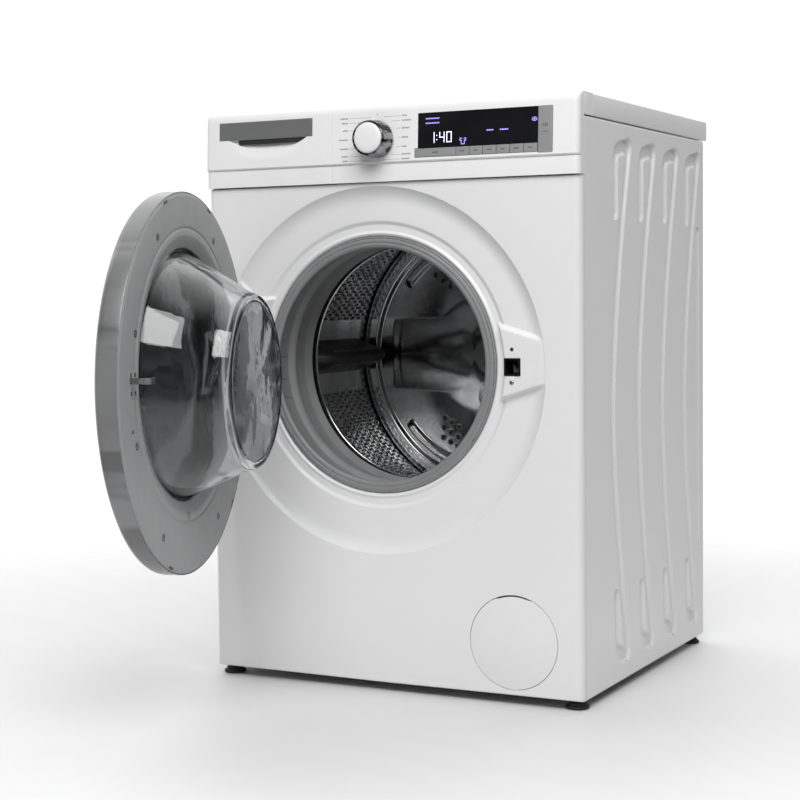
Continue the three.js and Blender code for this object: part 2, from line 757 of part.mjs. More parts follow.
function filterCap() {
  const cap = disc(34, [14, 25.5], flapX, flapZ, smallSteps);
  const plug = disc(28, [25, 96], flapX, flapZ, smallSteps);
  const grip = box([flapX - 3, flapX + 3], [6, 15], [flapZ - 26, flapZ + 26]);
  return join(cap, plug, grip);
}

function serviceFlap() {
  const plate = disc(flapRadius, [0.2, 2.6], flapX, flapZ);
  const fingerGap = disc(5, [-5, 10], flapX, flapZ + flapRadius + 1, 16);
  return cut(plate, fingerGap);
}

place('drain_pump', drainPump(), darkPlastic);
place('filter_cap', filterCap(), greyPlastic);
place('service_flap', serviceFlap(), whitePlastic);

// ---------------------------------------------------------------- lock, hinge and door

function doorLock() {
  const half = socketSize / 2;
  const wall = 1.6;
  const body = box([lockX - half - wall, lockX + half + 8], [1.4, 42], [lockZ - 28, lockZ + 28]);
  return cut(body, box([lockX - half, lockX + half], [-5, 34], [lockZ - half, lockZ + half]));
}

place('door_lock', doorLock(), darkPlastic);

const hingeMiddle = 475;
const hingeHalf = 37;              // half the height of the hinge over both lugs
const lugHeight = 6;
const pinRadius = 3;
const barrelRadius = 6.5;

function hingeBracket() {
  const plate = box([hingeX - 12, hingeX + 36], [2, 4.7], [hingeMiddle - 42, hingeMiddle + 42]);
  const lugs = [-1, 1].map((side) => {
    const inner = hingeMiddle + side * (hingeHalf - lugHeight);
    const z = [Math.min(inner, inner + side * lugHeight), Math.max(inner, inner + side * lugHeight)];
    const eye = roundBar([hingeX, hingeY, z[0]], [hingeX, hingeY, z[1]], barrelRadius, 16);
    return join(box([hingeX - 4, hingeX + 4], [hingeY, 3], z), eye);
  });
  const pin = roundBar([hingeX, hingeY, hingeMiddle - hingeHalf + 1],
    [hingeX, hingeY, hingeMiddle + hingeHalf - 1], pinRadius, 16);
  return join(plate, ...lugs, pin);
}

place('hinge_bracket', hingeBracket(), galvanised);

const doorSwing = new THREE.Group();
doorSwing.position.set(hingeX, hingeY, 0);
doorSwing.rotation.z = -THREE.MathUtils.degToRad(doorOpenAngle);
const door = new THREE.Group();
door.position.set(-hingeX, -hingeY, 0);
doorSwing.add(door);
assembly.add(doorSwing);

// depth into the door, measured away from the cabinet
const deep = (depth) => doorFace - depth;

// rings whose outer edge is round about the door's centre and whose hole is centred higher
function ringRise(distance) {
  const share = (doorRadius - distance) / (doorRadius - 205);
  return bowlRise * THREE.MathUtils.clamp(share, 0, 1);
}

// room for the hinge: everything near the pin is open except the skin of the door's front
function hingePocket() {
  const half = hingeHalf + 9;
  const z = [hingeMiddle - half, hingeMiddle + half];
  const room = roundBar([hingeX, hingeY, z[0]], [hingeX, hingeY, z[1]], 36, 32);
  const skin = box([hingeX - 60, hingeX + 60], [deep(60), deep(doorThickness - 3)], z);
  const slots = [-1, 1].map((side) => {
    const middle = hingeMiddle + side * (hingeHalf - lugHeight / 2);
    return box([hingeX - 40, hingeX - 4.5], [deep(40), deep(-1)], [middle - 4, middle + 4]);
  });
  return join(cut(room, skin), ...slots);
}

function doorInnerRing() {
  const profile = [
    [172, deep(6)], [188, deep(0)], [doorRadius - 1.5, deep(0)], [doorRadius - 1.5, deep(4)],
    [191, deep(4)], [177, deep(10)], [172, deep(10)], [172, deep(6)],
  ];
  const plate = raised(turned(profile, axisX, doorZ), axisX, doorZ, ringRise);
  const hookSlot = box([lockX - 9, lockX + 9], [deep(12), deep(-3)], [lockZ - 7, lockZ + 7]);
  return cut(plate, hookSlot, hingePocket());
}

function doorOuterRing() {
  const profile = [
    [doorRadius, deep(4.4)], [doorRadius, deep(24)], [doorRadius - 2.5, deep(30)],
    [doorRadius - 8, deep(doorThickness)], [203, deep(doorThickness)], [203, deep(30)],
    [doorRadius - 9, deep(30)], [doorRadius - 3, deep(23)], [doorRadius - 3, deep(4.4)],
    [doorRadius, deep(4.4)],
  ];
  const rim = raised(turned(profile, axisX, doorZ), axisX, doorZ, ringRise);
  const lipRing = ring(doorRadius - 6, doorRadius + 1, [deep(doorThickness), deep(23.5)], axisX, doorZ);
  const lip = lipRing.intersect(box([axisX + 200, axisX + 300], [-60, 0], [doorZ - 68, doorZ + 76]));
  return cut(join(rim, lip), hingePocket());
}

// The bowl leans: its small end sits lower than its rim.
function bowlLean(distance, y) {
  const share = THREE.MathUtils.clamp((y - deep(10)) / (bowlDepth + 10), 0, 1);
  return bowlRise - 9.5 * share;
}

function doorGlass() {
  const y = (height) => doorFace + height;
  const profile = [
    [0, y(bowlDepth)], [108, y(bowlDepth)], [115, y(bowlDepth - 2)], [bowlEndRadius, y(bowlDepth - 8)],
    [128, y(70)], [147, y(35)], [160, y(8)], [165, y(-4)], [168, y(-10.4)], [184, y(-10.4)],
    [184, y(-15)], [163, y(-15)], [155, y(7)], [142, y(34)], [123, y(68)], [113, y(88)], [107, y(92)],
    [0, y(92)],
  ];
  return raised(turned(profile, axisX, doorZ, roundSteps), axisX, doorZ, bowlLean);
}

function doorCover() {
  const profile = [
    [0, deep(28)], [186, deep(26)], [202.4, deep(28)], [202.4, deep(32)], [186, deep(34)],
    [90, deep(36.5)], [0, deep(37.5)],
  ];
  return raised(turned(profile, axisX, doorZ), axisX, doorZ, () => bowlRise);
}

function latchHook() {
  const outline = [
    [192, -22], [200, -22], [200, 22], [187, 22], [187, 19], [194, 13], [194, -14], [192, -14],
  ];
  return alongZ(outline, [lockZ - 4, lockZ + 4]);
}

function hingeArm() {
  const z = [hingeMiddle - hingeHalf + lugHeight + gap, hingeMiddle + hingeHalf - lugHeight - gap];
  const barrel = roundBar([hingeX, hingeY, z[0]], [hingeX, hingeY, z[1]], barrelRadius, 16);
  const leaf = box([hingeX, -206], [hingeY - 3, hingeY + 1], z);
  const bore = roundBar([hingeX, hingeY, 300], [hingeX, hingeY, 600], pinRadius + gap, 16);
  return cut(join(barrel, leaf), bore);
}

place('door_inner_ring', doorInnerRing(), greyPlastic, door);
place('door_outer_ring', doorOuterRing(), silver, door);
place('door_glass', doorGlass(), clearGlass, door);
place('door_cover', doorCover(), smokedGlass, door);
place('latch_hook', latchHook(), bearingSteel, door);
place('hinge_arm', hingeArm(), galvanised, door);

// ---------------------------------------------------------------- origin

// the origin is the middle of the footprint, door open, at floor level
assembly.updateMatrixWorld(true);
const footprint = new THREE.Box3().setFromObject(assembly, true);
const middle = footprint.getCenter(new THREE.Vector3());
assembly.position.set(-middle.x, -middle.y, 0);

export default assembly;
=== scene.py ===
"""The looks of a front load washing machine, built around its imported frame.

Pieces are made in millimetres in the cabinet's own directions: x across from the middle of
the cabinet, y behind the flat of the front panel, z up from the floor. The pieces of the door
are made with the door shut and are then swung open about the hinge pin.
"""

import json
from math import atan2, cos, pi, radians, sin, sqrt

import bmesh
import bpy
import numpy as np
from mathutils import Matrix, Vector
from mathutils.geometry import delaunay_2d_cdt


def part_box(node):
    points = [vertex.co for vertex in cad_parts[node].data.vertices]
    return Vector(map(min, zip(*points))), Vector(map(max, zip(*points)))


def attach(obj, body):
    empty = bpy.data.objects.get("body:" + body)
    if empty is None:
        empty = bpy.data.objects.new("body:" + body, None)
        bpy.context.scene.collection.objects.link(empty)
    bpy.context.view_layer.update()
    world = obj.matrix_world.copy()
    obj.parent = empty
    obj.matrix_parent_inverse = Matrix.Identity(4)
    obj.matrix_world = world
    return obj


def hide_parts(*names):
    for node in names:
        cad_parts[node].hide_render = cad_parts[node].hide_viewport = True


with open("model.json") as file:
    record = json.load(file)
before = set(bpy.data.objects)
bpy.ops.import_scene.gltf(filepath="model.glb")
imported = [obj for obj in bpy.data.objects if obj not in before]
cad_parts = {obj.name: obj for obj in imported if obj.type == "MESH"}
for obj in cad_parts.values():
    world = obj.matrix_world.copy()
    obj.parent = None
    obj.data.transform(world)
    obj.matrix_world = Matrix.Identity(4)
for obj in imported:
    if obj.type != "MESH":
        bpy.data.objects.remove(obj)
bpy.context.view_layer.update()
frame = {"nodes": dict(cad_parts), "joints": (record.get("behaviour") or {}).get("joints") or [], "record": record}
nodes = frame["nodes"]

# ---- driving sizes, read from the frame where a CAD node gives them

MM = 0.001
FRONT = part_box("front_panel")[0].y


def span(node):
    """The x, y and z ranges of a CAD node, in millimetres."""
    low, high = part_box(node)
    shift = Vector((0, FRONT, 0))
    return [(a / MM, b / MM) for a, b in zip(low - shift, high - shift)]


def middle(pair):
    return (pair[0] + pair[1]) / 2


HALF_WIDTH = span("side_panel_right")[0][1]
SIDE_FRONT, SIDE_BACK = span("side_panel_right")[1]
CABINET_BOTTOM, PANEL_TOP = span("front_panel")[2]
WORKTOP_BOTTOM, HEIGHT = span("top_cover")[2]
AXIS_X = middle(span("drum_back")[0])
AXIS_Z = middle(span("drum_back")[2])
OPENING_RADIUS = 186
RECESS_RADIUS = 266
RECESS_Z = AXIS_Z - 8
CORNER = 11
LOCK_X = 197
LOCK_Z = AXIS_Z
SOCKET_HALF = 11
FLAP_X = middle(span("service_flap")[0])
FLAP_RADIUS = (span("service_flap")[0][1] - span("service_flap")[0][0]) / 2
FLAP_Z = span("service_flap")[2][0] + FLAP_RADIUS
DRUM_RADIUS = 238
DRUM_LIP = 174
DOOR_RADIUS = (span("door_outer_ring")[2][1] - span("door_outer_ring")[2][0]) / 2
DOOR_Z = middle(span("door_outer_ring")[2])
DOOR_OPEN = radians(75.5)
DOOR_FACE = -7
BOWL_RISE = 12
DIAL_X = middle(span("dial_ring")[0])
DIAL_Z = middle(span("dial_ring")[2])
FASCIA_SPLIT = span("control_fascia")[0][0]
FASCIA_BOTTOM = span("control_fascia")[2][0]
STRIP_TOP = 764
FASCIA_LEAN = 4 / 78

hinge = next(j for j in frame["joints"] if j["name"] == "door_hinge")
HINGE_X = hinge["pos_m"][0] / MM
HINGE_Y = (hinge["pos_m"][1] - FRONT) / MM

# ---- materials


def wired(tree, kind, output, inputs, operation=None):
    """Adds a node, fills its inputs with values or links, and gives one of its outputs."""
    node = tree.nodes.new(kind)
    if operation:
        node.operation = operation
    for name, value in inputs.items():
        if isinstance(value, bpy.types.NodeSocket):
            tree.links.new(value, node.inputs[name])
        else:
            node.inputs[name].default_value = value
    return node.outputs[output]


def noise(tree, size, detail=3.0, stretch=None):
    """Noise with features of a size in millimetres, drawn out along one axis if asked."""
    place = wired(tree, "ShaderNodeTexCoord", "Object", {})
    spread = wired(tree, "ShaderNodeMapping", "Vector",
                   {"Vector": place, "Scale": stretch or (1, 1, 1)})
    return wired(tree, "ShaderNodeTexNoise", "Fac",
                 {"Vector": spread, "Scale": 1 / (size * MM), "Detail": detail})


def shades(tree, factor, colour, spread, blend=0.2):
    """A ramp from a darker to a lighter shade of a colour; a small blend gives hard bands."""
    ramp = tree.nodes.new("ShaderNodeValToRGB")
    ramp.color_ramp.elements[0].position = 0.5 - blend
    ramp.color_ramp.elements[1].position = 0.5 + blend
    for element, scale in zip(ramp.color_ramp.elements, (1 - spread, 1 + spread)):
        element.color = [min(1.0, c * scale) for c in colour] + [1]
    tree.links.new(factor, ramp.inputs["Fac"])
    return ramp.outputs["Color"]


def ranged(tree, factor, start, end, low, high):
    """A value that goes from low to high while the factor goes from start to end."""
    limits = {"From Min": start, "From Max": end, "To Min": low, "To Max": high}
    return wired(tree, "ShaderNodeMapRange", "Result", {"Value": factor, **limits})


FINISH_OF = {}  # the finish of each material slot


def material(name, slot, colour, rough=(0.3, 0.4), mottle=60, spread=0.02, grain=0.5, bump=0.02,
             stretch=None, blend=0.2, **fixed):
    """A procedural finish: mottled colour, uneven gloss and a fine surface grain.

    The first finish made for a material slot is the one that plain CAD nodes get.
    """
    made = bpy.data.materials.new(name)
    FINISH_OF.setdefault(slot, made)
    made.use_nodes = True
    tree = made.node_tree
    shader = tree.nodes["Principled BSDF"]
    for socket, value in fixed.items():
        shader.inputs[socket.replace("_", " ")].default_value = value
    tree.links.new(shades(tree, noise(tree, mottle, 4, stretch), colour, spread, blend),
                   shader.inputs["Base Color"])
    tree.links.new(ranged(tree, noise(tree, mottle / 3, 3, stretch), 0.3, 0.7, *rough),
                   shader.inputs["Roughness"])
    height = noise(tree, grain, 2, stretch)
    relief = wired(tree, "ShaderNodeBump", "Normal",
                   {"Strength": bump, "Distance": grain * MM, "Height": height})
    tree.links.new(relief, shader.inputs["Normal"])
    return made


ACROSS = (0.05, 1, 1)
UPRIGHT = (0.12, 0.12, 1)

enamel = material("white_enamel", "white_steel", (0.80, 0.80, 0.805), (0.28, 0.30), 160, 0.004, 12,
                  0.002, Coat_Weight=0.3, Coat_Roughness=0.12)
moulded = material("white_moulding", "white_plastic", (0.84, 0.84, 0.845), (0.30, 0.34), 90, 0.005,
                   6, 0.003)
laminate = material("white_laminate", "white_plastic", (0.82, 0.82, 0.825), (0.35, 0.45), 40,
                    0.015, 1.6, 0.12)
silver = material("silver_lacquer", "silver_plastic", (0.36, 0.362, 0.365), (0.30, 0.38), 30, 0.03,
                  0.35, 0.06, ACROSS, Metallic=0.4)
plate_silver = material("plate_silver", "silver_plastic", (0.19, 0.192, 0.195), (0.30, 0.38), 30,
                        0.03, 0.35, 0.06, ACROSS, Metallic=0.4)
# painted reflections: hard bands of darker and lighter colour on the door's rim stand in for what it reflects
rim_silver_painted_reflections = material("rim_silver_painted_reflections", "silver_plastic", (0.22, 0.222, 0.225), (0.20, 0.30), 90, 0.24,
                      0.5, 0.03, UPRIGHT, 0.03, Metallic=0.5)
ring_grey = material("ring_grey", "grey_plastic", (0.35, 0.353, 0.358), (0.36, 0.46), 35, 0.03,
                     0.45, 0.10)
# painted reflections: hard dark and light bands in this chrome's colour stand in for what it reflects
dark_chrome_painted_reflections = material("dark_chrome_painted_reflections", "chrome", (0.17, 0.17, 0.175), (0.05, 0.10), 11, 0.97, 0.6,
                       0.01, (1, 0.3, 1), 0.05, Metallic=1.0)
stainless = material("stainless", "stainless", (0.42, 0.424, 0.43), (0.11, 0.17), 60, 0.05, 22,
                     0.012, Metallic=1.0)
drum_steel = material("drum_steel", "stainless", (0.60, 0.605, 0.61), (0.20, 0.27), 60, 0.06, 22,
                      0.01, Metallic=1.0)
# polished stainless, with a colour made lighter than the drum's so that the nose of the drum shows a painted
# highlight line
polish_and_painted_highlight = material("polished_steel_and_painted_highlight", "stainless", (0.75, 0.755, 0.76), (0.05, 0.10), 60, 0.03, 22,
                    0.01, Metallic=1.0)
material("galvanised", "galvanised", (0.45, 0.46, 0.47), (0.35, 0.55), 14, 0.18, 1.5,
         0.05, Metallic=0.8)
steel = material("bright_steel", "bearing_steel", (0.34, 0.345, 0.35), (0.18, 0.3), 10, 0.06, 0.3,
                 0.04, Metallic=1.0)
material("cast_aluminium", "cast_aluminium", (0.42, 0.43, 0.44), (0.45, 0.6), 12, 0.08,
         0.9, 0.3, Metallic=0.9)
rubber = material("grey_rubber", "gasket_rubber", (0.235, 0.237, 0.241), (0.40, 0.52), 45, 0.08,
                  0.6, 0.10)
black_rubber = material("black_rubber", "black_rubber", (0.014, 0.014, 0.015), (0.55, 0.7), 12,
                        0.2, 0.8, 0.3)
dark = material("dark_plastic", "dark_plastic", (0.022, 0.022, 0.024), (0.32, 0.48), 20, 0.15, 0.5,
                0.15)
lifter_grey = material("lifter_plastic", "grey_plastic", (0.05, 0.05, 0.053), (0.28, 0.4), 25,
                       0.12, 0.6, 0.1)
tub_grey = material("tub_plastic", "tub_plastic", (0.45, 0.46, 0.44), (0.5, 0.65), 25, 0.06, 1.2,
                    0.2)
gloss = material("display_gloss", "black_gloss", (0.006, 0.006, 0.008), (0.10, 0.14), 50, 0.3, 0.4,
                 0.003, Specular_IOR_Level=0.12)
material("cast_concrete", "concrete", (0.30, 0.29, 0.27), (0.85, 0.95), 9, 0.18, 2.5, 0.8)
material("circuit_board", "board_green", (0.03, 0.14, 0.05), (0.4, 0.55), 6, 0.3, 1.0, 0.2)
print_grey = material("printed_grey", "grey_plastic", (0.30, 0.30, 0.32), (0.45, 0.55), 5, 0.08,
                      0.3, 0.05)
print_dark = material("printed_dark", "dark_plastic", (0.05, 0.05, 0.055), (0.45, 0.55), 5, 0.1,
                      0.3, 0.05)
clear = material("bowl_glass", "clear_glass", (0.90, 0.92, 0.925), (0.003, 0.012), 80, 0.015, 30,
                 0.012, Transmission_Weight=1.0, IOR=1.5)
smoked = material("smoked_cover", "smoked_glass", (0.010, 0.010, 0.012), (0.06, 0.10), 70, 0.2, 40,
                  0.03)


def glowing(name, colour, strength):
    made = material(name, "black_gloss", colour, (0.3, 0.4), 3, 0.1, 0.4, 0.05)
    shader = made.node_tree.nodes["Principled BSDF"]
    shader.inputs["Emission Color"].default_value = (*colour, 1)
    shader.inputs["Emission Strength"].default_value = strength
    return made


glow_white = glowing("display_white", (0.80, 0.82, 1.0), 1.0)
glow_violet = glowing("display_violet", (0.30, 0.28, 0.85), 1.0)

# ---- shapes


def grid(points, wrap_rows=False, wrap_columns=False, cap=False):
    """A sheet of faces over points arranged in rows and columns."""
    points = np.asarray(points, float)
    rows, columns = points.shape[:2]
    faces = []
    for r in range(rows if wrap_rows else rows - 1):
        for c in range(columns if wrap_columns else columns - 1):
            r2, c2 = (r + 1) % rows, (c + 1) % columns
            faces.append((r * columns + c, r * columns + c2, r2 * columns + c2, r2 * columns + c))
    if cap:
        faces.append(tuple(reversed(range(columns))))
        faces.append(tuple((rows - 1) * columns + c for c in range(columns)))
    return points.reshape(-1, 3), faces


def merged(*shapes):
    """Several shapes as one."""
    points, faces, start = [], [], 0
    for some, fs in shapes:
        points.append(np.asarray(some, float).reshape(-1, 3))
        faces += [tuple(i + start for i in f) for f in fs]
        start += len(points[-1])
    return np.vstack(points), faces


def full_turn(steps):
    return np.linspace(0, 2 * pi, steps, endpoint=False)


def about_axis(radius, angle, y):
    """A place given by its radius and angle about the drum's axis."""
    return AXIS_X + radius * np.cos(angle), y, AXIS_Z + radius * np.sin(angle)


def places(x, y, z):
    """A row of places; a number stands for the same value all along it."""
    return np.column_stack(np.broadcast_arrays(x, y, z))


def rectangle(x, z):
    return [(x[0], z[0]), (x[1], z[0]), (x[1], z[1]), (x[0], z[1])]


def round_about(x, z, half):
    """The x and z ranges of a square or rectangle about its middle."""
    across, up = half if isinstance(half, tuple) else (half, half)
    return (x - across, x + across), (z - up, z + up)


def circle(x, z, radius, steps):
    angles = full_turn(steps)
    return np.column_stack([x + radius * np.cos(angles), z + radius * np.sin(angles)])


def arc(cx, cy, radius, start, end, steps):
    angles = np.radians(np.linspace(start, end, steps + 1))
    return [(cx + radius * cos(a), cy + radius * sin(a)) for a in angles]


def rounded(corners, radius, steps=4, closed=True):
    """A 2D line with its corners rounded over."""
    corners = [np.array(c[:2], float) for c in corners]
    line = []
    count = len(corners)
    for i, corner in enumerate(corners):
        if not closed and i in (0, count - 1):
            line.append(corner)
            continue
        before, after = corners[i - 1] - corner, corners[(i + 1) % count] - corner
        reach = min(radius, np.linalg.norm(before) * 0.45, np.linalg.norm(after) * 0.45)
        a = corner + before / np.linalg.norm(before) * reach
        b = corner + after / np.linalg.norm(after) * reach
        for t in np.linspace(0, 1, steps + 1):
            line.append((1 - t) ** 2 * a + 2 * t * (1 - t) * corner + t * t * b)
    return line


def curve(corners, radius, steps=4):
    """An open 2D line with its inner corners rounded over."""
    return np.array(rounded(corners, radius, steps, closed=False))


def turned(line, x, z, steps=160, closed=True):
    """A line of (radius, y) points turned about an axis that runs front to back."""
    rows = [np.insert(circle(x, z, r, steps), 1, y, axis=1) for r, y in line]
    return grid(rows, wrap_rows=closed, wrap_columns=True)


def spun(line, x, z, steps=160):
    """The same for a line that starts and ends on the axis."""
    return turned(line, x, z, steps, closed=False)


def inset(outline, distance):
    """A closed 2D outline moved inwards; it runs anticlockwise."""
    line = np.array(outline, float)
    ahead = np.roll(line, -1, axis=0) - line
    ahead /= np.linalg.norm(ahead, axis=1, keepdims=True) + 1e-9
    behind = np.roll(ahead, 1, axis=0)
    left = np.column_stack([-(ahead + behind)[:, 1], (ahead + behind)[:, 0]])
    left /= np.linalg.norm(left, axis=1, keepdims=True) + 1e-9
    turn = np.clip((ahead * behind).sum(1), -0.5, 1)
    return line + left * (distance / np.sqrt((1 + turn) / 2))[:, None]


def anticlockwise(outline):
    line = np.array(outline, float)
    ahead = np.roll(line, -1, axis=0)
    area = (line[:, 0] * ahead[:, 1] - ahead[:, 0] * line[:, 1]).sum()
    return line if area > 0 else line[::-1]


def slab(outline, low, high, soft=0.4, along=1):
    """A closed outline run along one axis, with both rims rounded over."""
    outline = anticlockwise(outline)
    soft = min(soft, abs(high - low) * 0.45)
    levels = [(low + soft * (1 - sin(a)), soft * (1 - cos(a)))
              for a in np.radians([90, 60, 30, 0])]
    levels += [(high - soft * (1 - sin(a)), soft * (1 - cos(a)))
               for a in np.radians([0, 30, 60, 90])]
    rows = []
    for level, distance in levels:
        flat = inset(outline, distance)
        rows.append(np.insert(flat, along, level, axis=1))
    return grid(rows, wrap_columns=True, cap=True)


def plate(x, z, low, high, radius=0.5, soft=0.25):
    """A rectangle in the plane of the front, with rounded corners."""
    return slab(rounded(rectangle(x, z), radius), low, high, soft)


def tube(path, radius, sides=8, closed=False):
    """A round bar along a path."""
    path = np.array(path, float)
    ahead = np.roll(path, -1, axis=0) - np.roll(path, 1, axis=0)
    if not closed:
        ahead[0], ahead[-1] = path[1] - path[0], path[-1] - path[-2]
    rows = []
    side = np.array((0.3, 0.2, 0.93))
    for point, direction in zip(path, ahead):
        direction = direction / np.linalg.norm(direction)
        side = side - direction * (side @ direction)
        side /= np.linalg.norm(side)
        up = np.cross(direction, side)
        rows.append([point + radius * (side * cos(a) + up * sin(a)) for a in full_turn(sides)])
    return grid(rows, wrap_rows=closed, wrap_columns=True, cap=not closed)


def screw(x, z, y, radius=3.4, facing=-1):
    """A pan head with a cross recess, standing on the plane y and facing along facing * y."""
    rows = []
    for share in np.linspace(0, 1, 15):
        reach = share * radius
        u, w = circle(0, 0, reach, 48).T
        height = radius * 0.55 * np.sqrt(np.clip(1 - share ** 2 * 0.96, 0, 1))
        arm = radius * 0.13
        cross = ((abs(u) < arm) | (abs(w) < arm)) & (reach < radius * 0.6)
        height = height - cross * radius * 0.4
        rows.append(places(x + u, y + facing * height, z + w))
    rows.append(rows[-1] * 1.0)
    rows[-1][:, 1] = y - facing * 0.3
    return grid(rows, wrap_columns=True)


def placed(name, data):
    """A new object in the scene."""
    made = bpy.data.objects.new(name, data)
    bpy.context.scene.collection.objects.link(made)
    return made


def opened(points):
    """Points of the shut door, swung open about the hinge pin."""
    points = np.array(points, float)
    across, behind = points[:, 0] - HINGE_X, points[:, 1] - HINGE_Y
    c, s = cos(DOOR_OPEN), sin(DOOR_OPEN)
    return np.column_stack([HINGE_X + c * across + s * behind,
                            HINGE_Y - s * across + c * behind, points[:, 2]])


def piece(name, shape, finish, body="cabinet", sharp=32, replaces=None, thick=0.0):
    """A mesh object that rides on a body and may replace a CAD node.

    The shape is points with faces, or a list of such shapes.
    """
    points, faces = merged(*shape) if isinstance(shape, list) else shape
    if body in ("door", "latch"):
        points = opened(points)
    points = np.asarray(points, float) * MM + np.array((0, FRONT, 0))
    mesh = bpy.data.meshes.new(name)
    mesh.from_pydata(points.tolist(), [], faces)
    work = bmesh.new()
    work.from_mesh(mesh)
    bmesh.ops.remove_doubles(work, verts=work.verts, dist=2e-6)
    bmesh.ops.dissolve_degenerate(work, edges=work.edges, dist=1e-7)
    bmesh.ops.recalc_face_normals(work, faces=work.faces)
    work.to_mesh(mesh)
    work.free()
    mesh.polygons.foreach_set("use_smooth", [True] * len(mesh.polygons))
    mesh.set_sharp_from_angle(angle=radians(sharp))
    made = placed(name, mesh)
    mesh.materials.append(finish)
    if thick:
        shell = made.modifiers.new("sheet", "SOLIDIFY")
        shell.thickness = abs(thick) * MM
        shell.offset = -1 if thick > 0 else 1
        shell.use_even_offset = False
    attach(made, body)
    if replaces:
        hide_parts(replaces)
    return made


def carve(target, *cutters):
    """Cuts other shapes out of a piece for good."""
    for i, shape in enumerate(cutters):
        tool = piece(f"tool_{i}", shape, dark)
        bpy.context.view_layer.update()
        cut = target.modifiers.new("cut", "BOOLEAN")
        cut.operation = "DIFFERENCE"
        cut.solver = "EXACT"
        cut.object = tool
        bpy.context.view_layer.objects.active = target
        with bpy.context.temp_override(object=target, active_object=target):
            bpy.ops.object.modifier_apply(modifier=cut.name)
        bpy.data.objects.remove(tool)
    target.data.polygons.foreach_set("use_smooth", [True] * len(target.data.polygons))
    target.data.set_sharp_from_angle(angle=radians(32))


def ramp(value, start, end):
    """0 before start, 1 after end, and a smooth rise between them."""
    t = np.clip((value - start) / (end - start), 0, 1)
    return t * t * (3 - 2 * t)


# ---- front panel

RECESS_DEPTH = 9.5
SLOPE_WIDTH = 26
STEP_RADIUS = 209
STEP_WIDTH = 7
STEP_DEPTH = 3.2
PAD_DEPTH = 0.6


def pressed(inside, width):
    """1 well inside a pressed edge: steep at its crest and easing into the level below."""
    share = np.clip(inside / width, 0, 1)
    return (1 - (1 - share) ** 2.4) * ramp(inside, 0, 1.6)


def pad_share(x, z):
    """1 on the flush pads round the lock and the hinge, 0 elsewhere."""
    top = LOCK_Z + 55 - 0.30 * (x - 192)
    bottom = LOCK_Z - 42 + 0.31 * (x - 195)
    short_of_opening = ramp(np.hypot(x - AXIS_X, z - AXIS_Z), 196, 205)
    lock = ramp(top - z, -1, 5) * ramp(z - bottom, -1, 5) * (x > 60)
    bend = 0.03 * np.clip(-x - 215, 0, 60) ** 2
    hinge_pad = ramp(AXIS_Z + 100 + bend - z, -1, 5) * ramp(z - AXIS_Z + 100 + bend, -1, 5)
    return (lock + hinge_pad * (x < -100)) * short_of_opening


def panel_depth(x, z):
    """How far the pressed panel lies behind its own flat."""
    outer = np.hypot(x - AXIS_X, z - RECESS_Z)
    inner = np.hypot(x - AXIS_X, z - AXIS_Z)
    recess = RECESS_DEPTH * pressed(RECESS_RADIUS - outer, SLOPE_WIDTH)
    recess += STEP_DEPTH * ramp(STEP_RADIUS - inner, 0, STEP_WIDTH)
    pads = pad_share(x, z)
    edge = PAD_DEPTH * ramp(RECESS_RADIUS - outer, 0, 2)
    bead = 2.2 * np.exp(-((inner - 190.5) / 2.4) ** 2)
    return recess * (1 - pads) + edge * pads - bead * (1 - pads)


def front_panel():
    steps = 720
    start = OPENING_RADIUS + 1.5
    rows = []
    for share in np.linspace(0, 1, 116):
        radius = start + share * (RECESS_RADIUS + 0.3 - start)
        centre_z = AXIS_Z + (RECESS_Z - AXIS_Z) * ramp(share, 0.25, 0.95)
        x, z = circle(AXIS_X, centre_z, radius, steps).T
        rows.append(places(x, panel_depth(x, z), z))
    outer_ring = rows[-1]
    neck = []
    for reach, back in ((0, 14), (0, 4.5), (0.3, 2.4), (0.8, 1.0)):
        x, z = circle(AXIS_X, AXIS_Z, OPENING_RADIUS + reach, steps).T
        neck.append(places(x, panel_depth(x, z) + back, z))
    neck[0][:, 1] = 24
    points, faces = grid(neck + rows, wrap_columns=True)
    centres = np.array([points[list(f)].mean(0) for f in faces])
    from_lock = abs(centres - (LOCK_X, 0, LOCK_Z))
    in_socket = (from_lock[:, 0] < SOCKET_HALF) & (from_lock[:, 2] < SOCKET_HALF)
    pressing = points, [f for f, gone in zip(faces, in_socket) if not gone]

    # the flat between the pressing, the flap's hole and the rounded borders
    edge_x = HALF_WIDTH - CORNER
    low, high = CABINET_BOTTOM + 3, PANEL_TOP - 3
    border_in = border(edge_x - 0.5, low + 0.5, high - 0.5)
    border_out = border(edge_x, low, high)
    flap_rim = [circle(FLAP_X, FLAP_Z, FLAP_RADIUS + extra, 128) for extra in (2.2, 1.2, 0.8, 0.7, 0.7)]
    flat = fill(border_in, outer_ring[:, [0, 2]], flap_rim[0])
    strips = [as_rows([border_in, border_out], [0, 0])]
    outward = border(HALF_WIDTH, CABINET_BOTTOM, PANEL_TOP) - border_out
    turn = np.radians(np.linspace(0, 90, 9))
    edge_depth = 3 + 8 * abs(outward[:, 0]) / CORNER
    rows = []
    for t in turn:
        x, z = (border_out + outward * sin(t)).T
        rows.append(places(x, edge_depth * (1 - cos(t)), z))
    rows.append(rows[-1].copy())
    rows[-1][:, 1] = SIDE_FRONT - 0.3
    strips.append(grid(rows, wrap_columns=True))
    strips.append(as_rows(flap_rim, [0, 0, 0.25, 0.8, 9]))
    piece("front_skin", [pressing, flat, *strips], enamel, "cabinet", 40, "front_panel", 0.7)


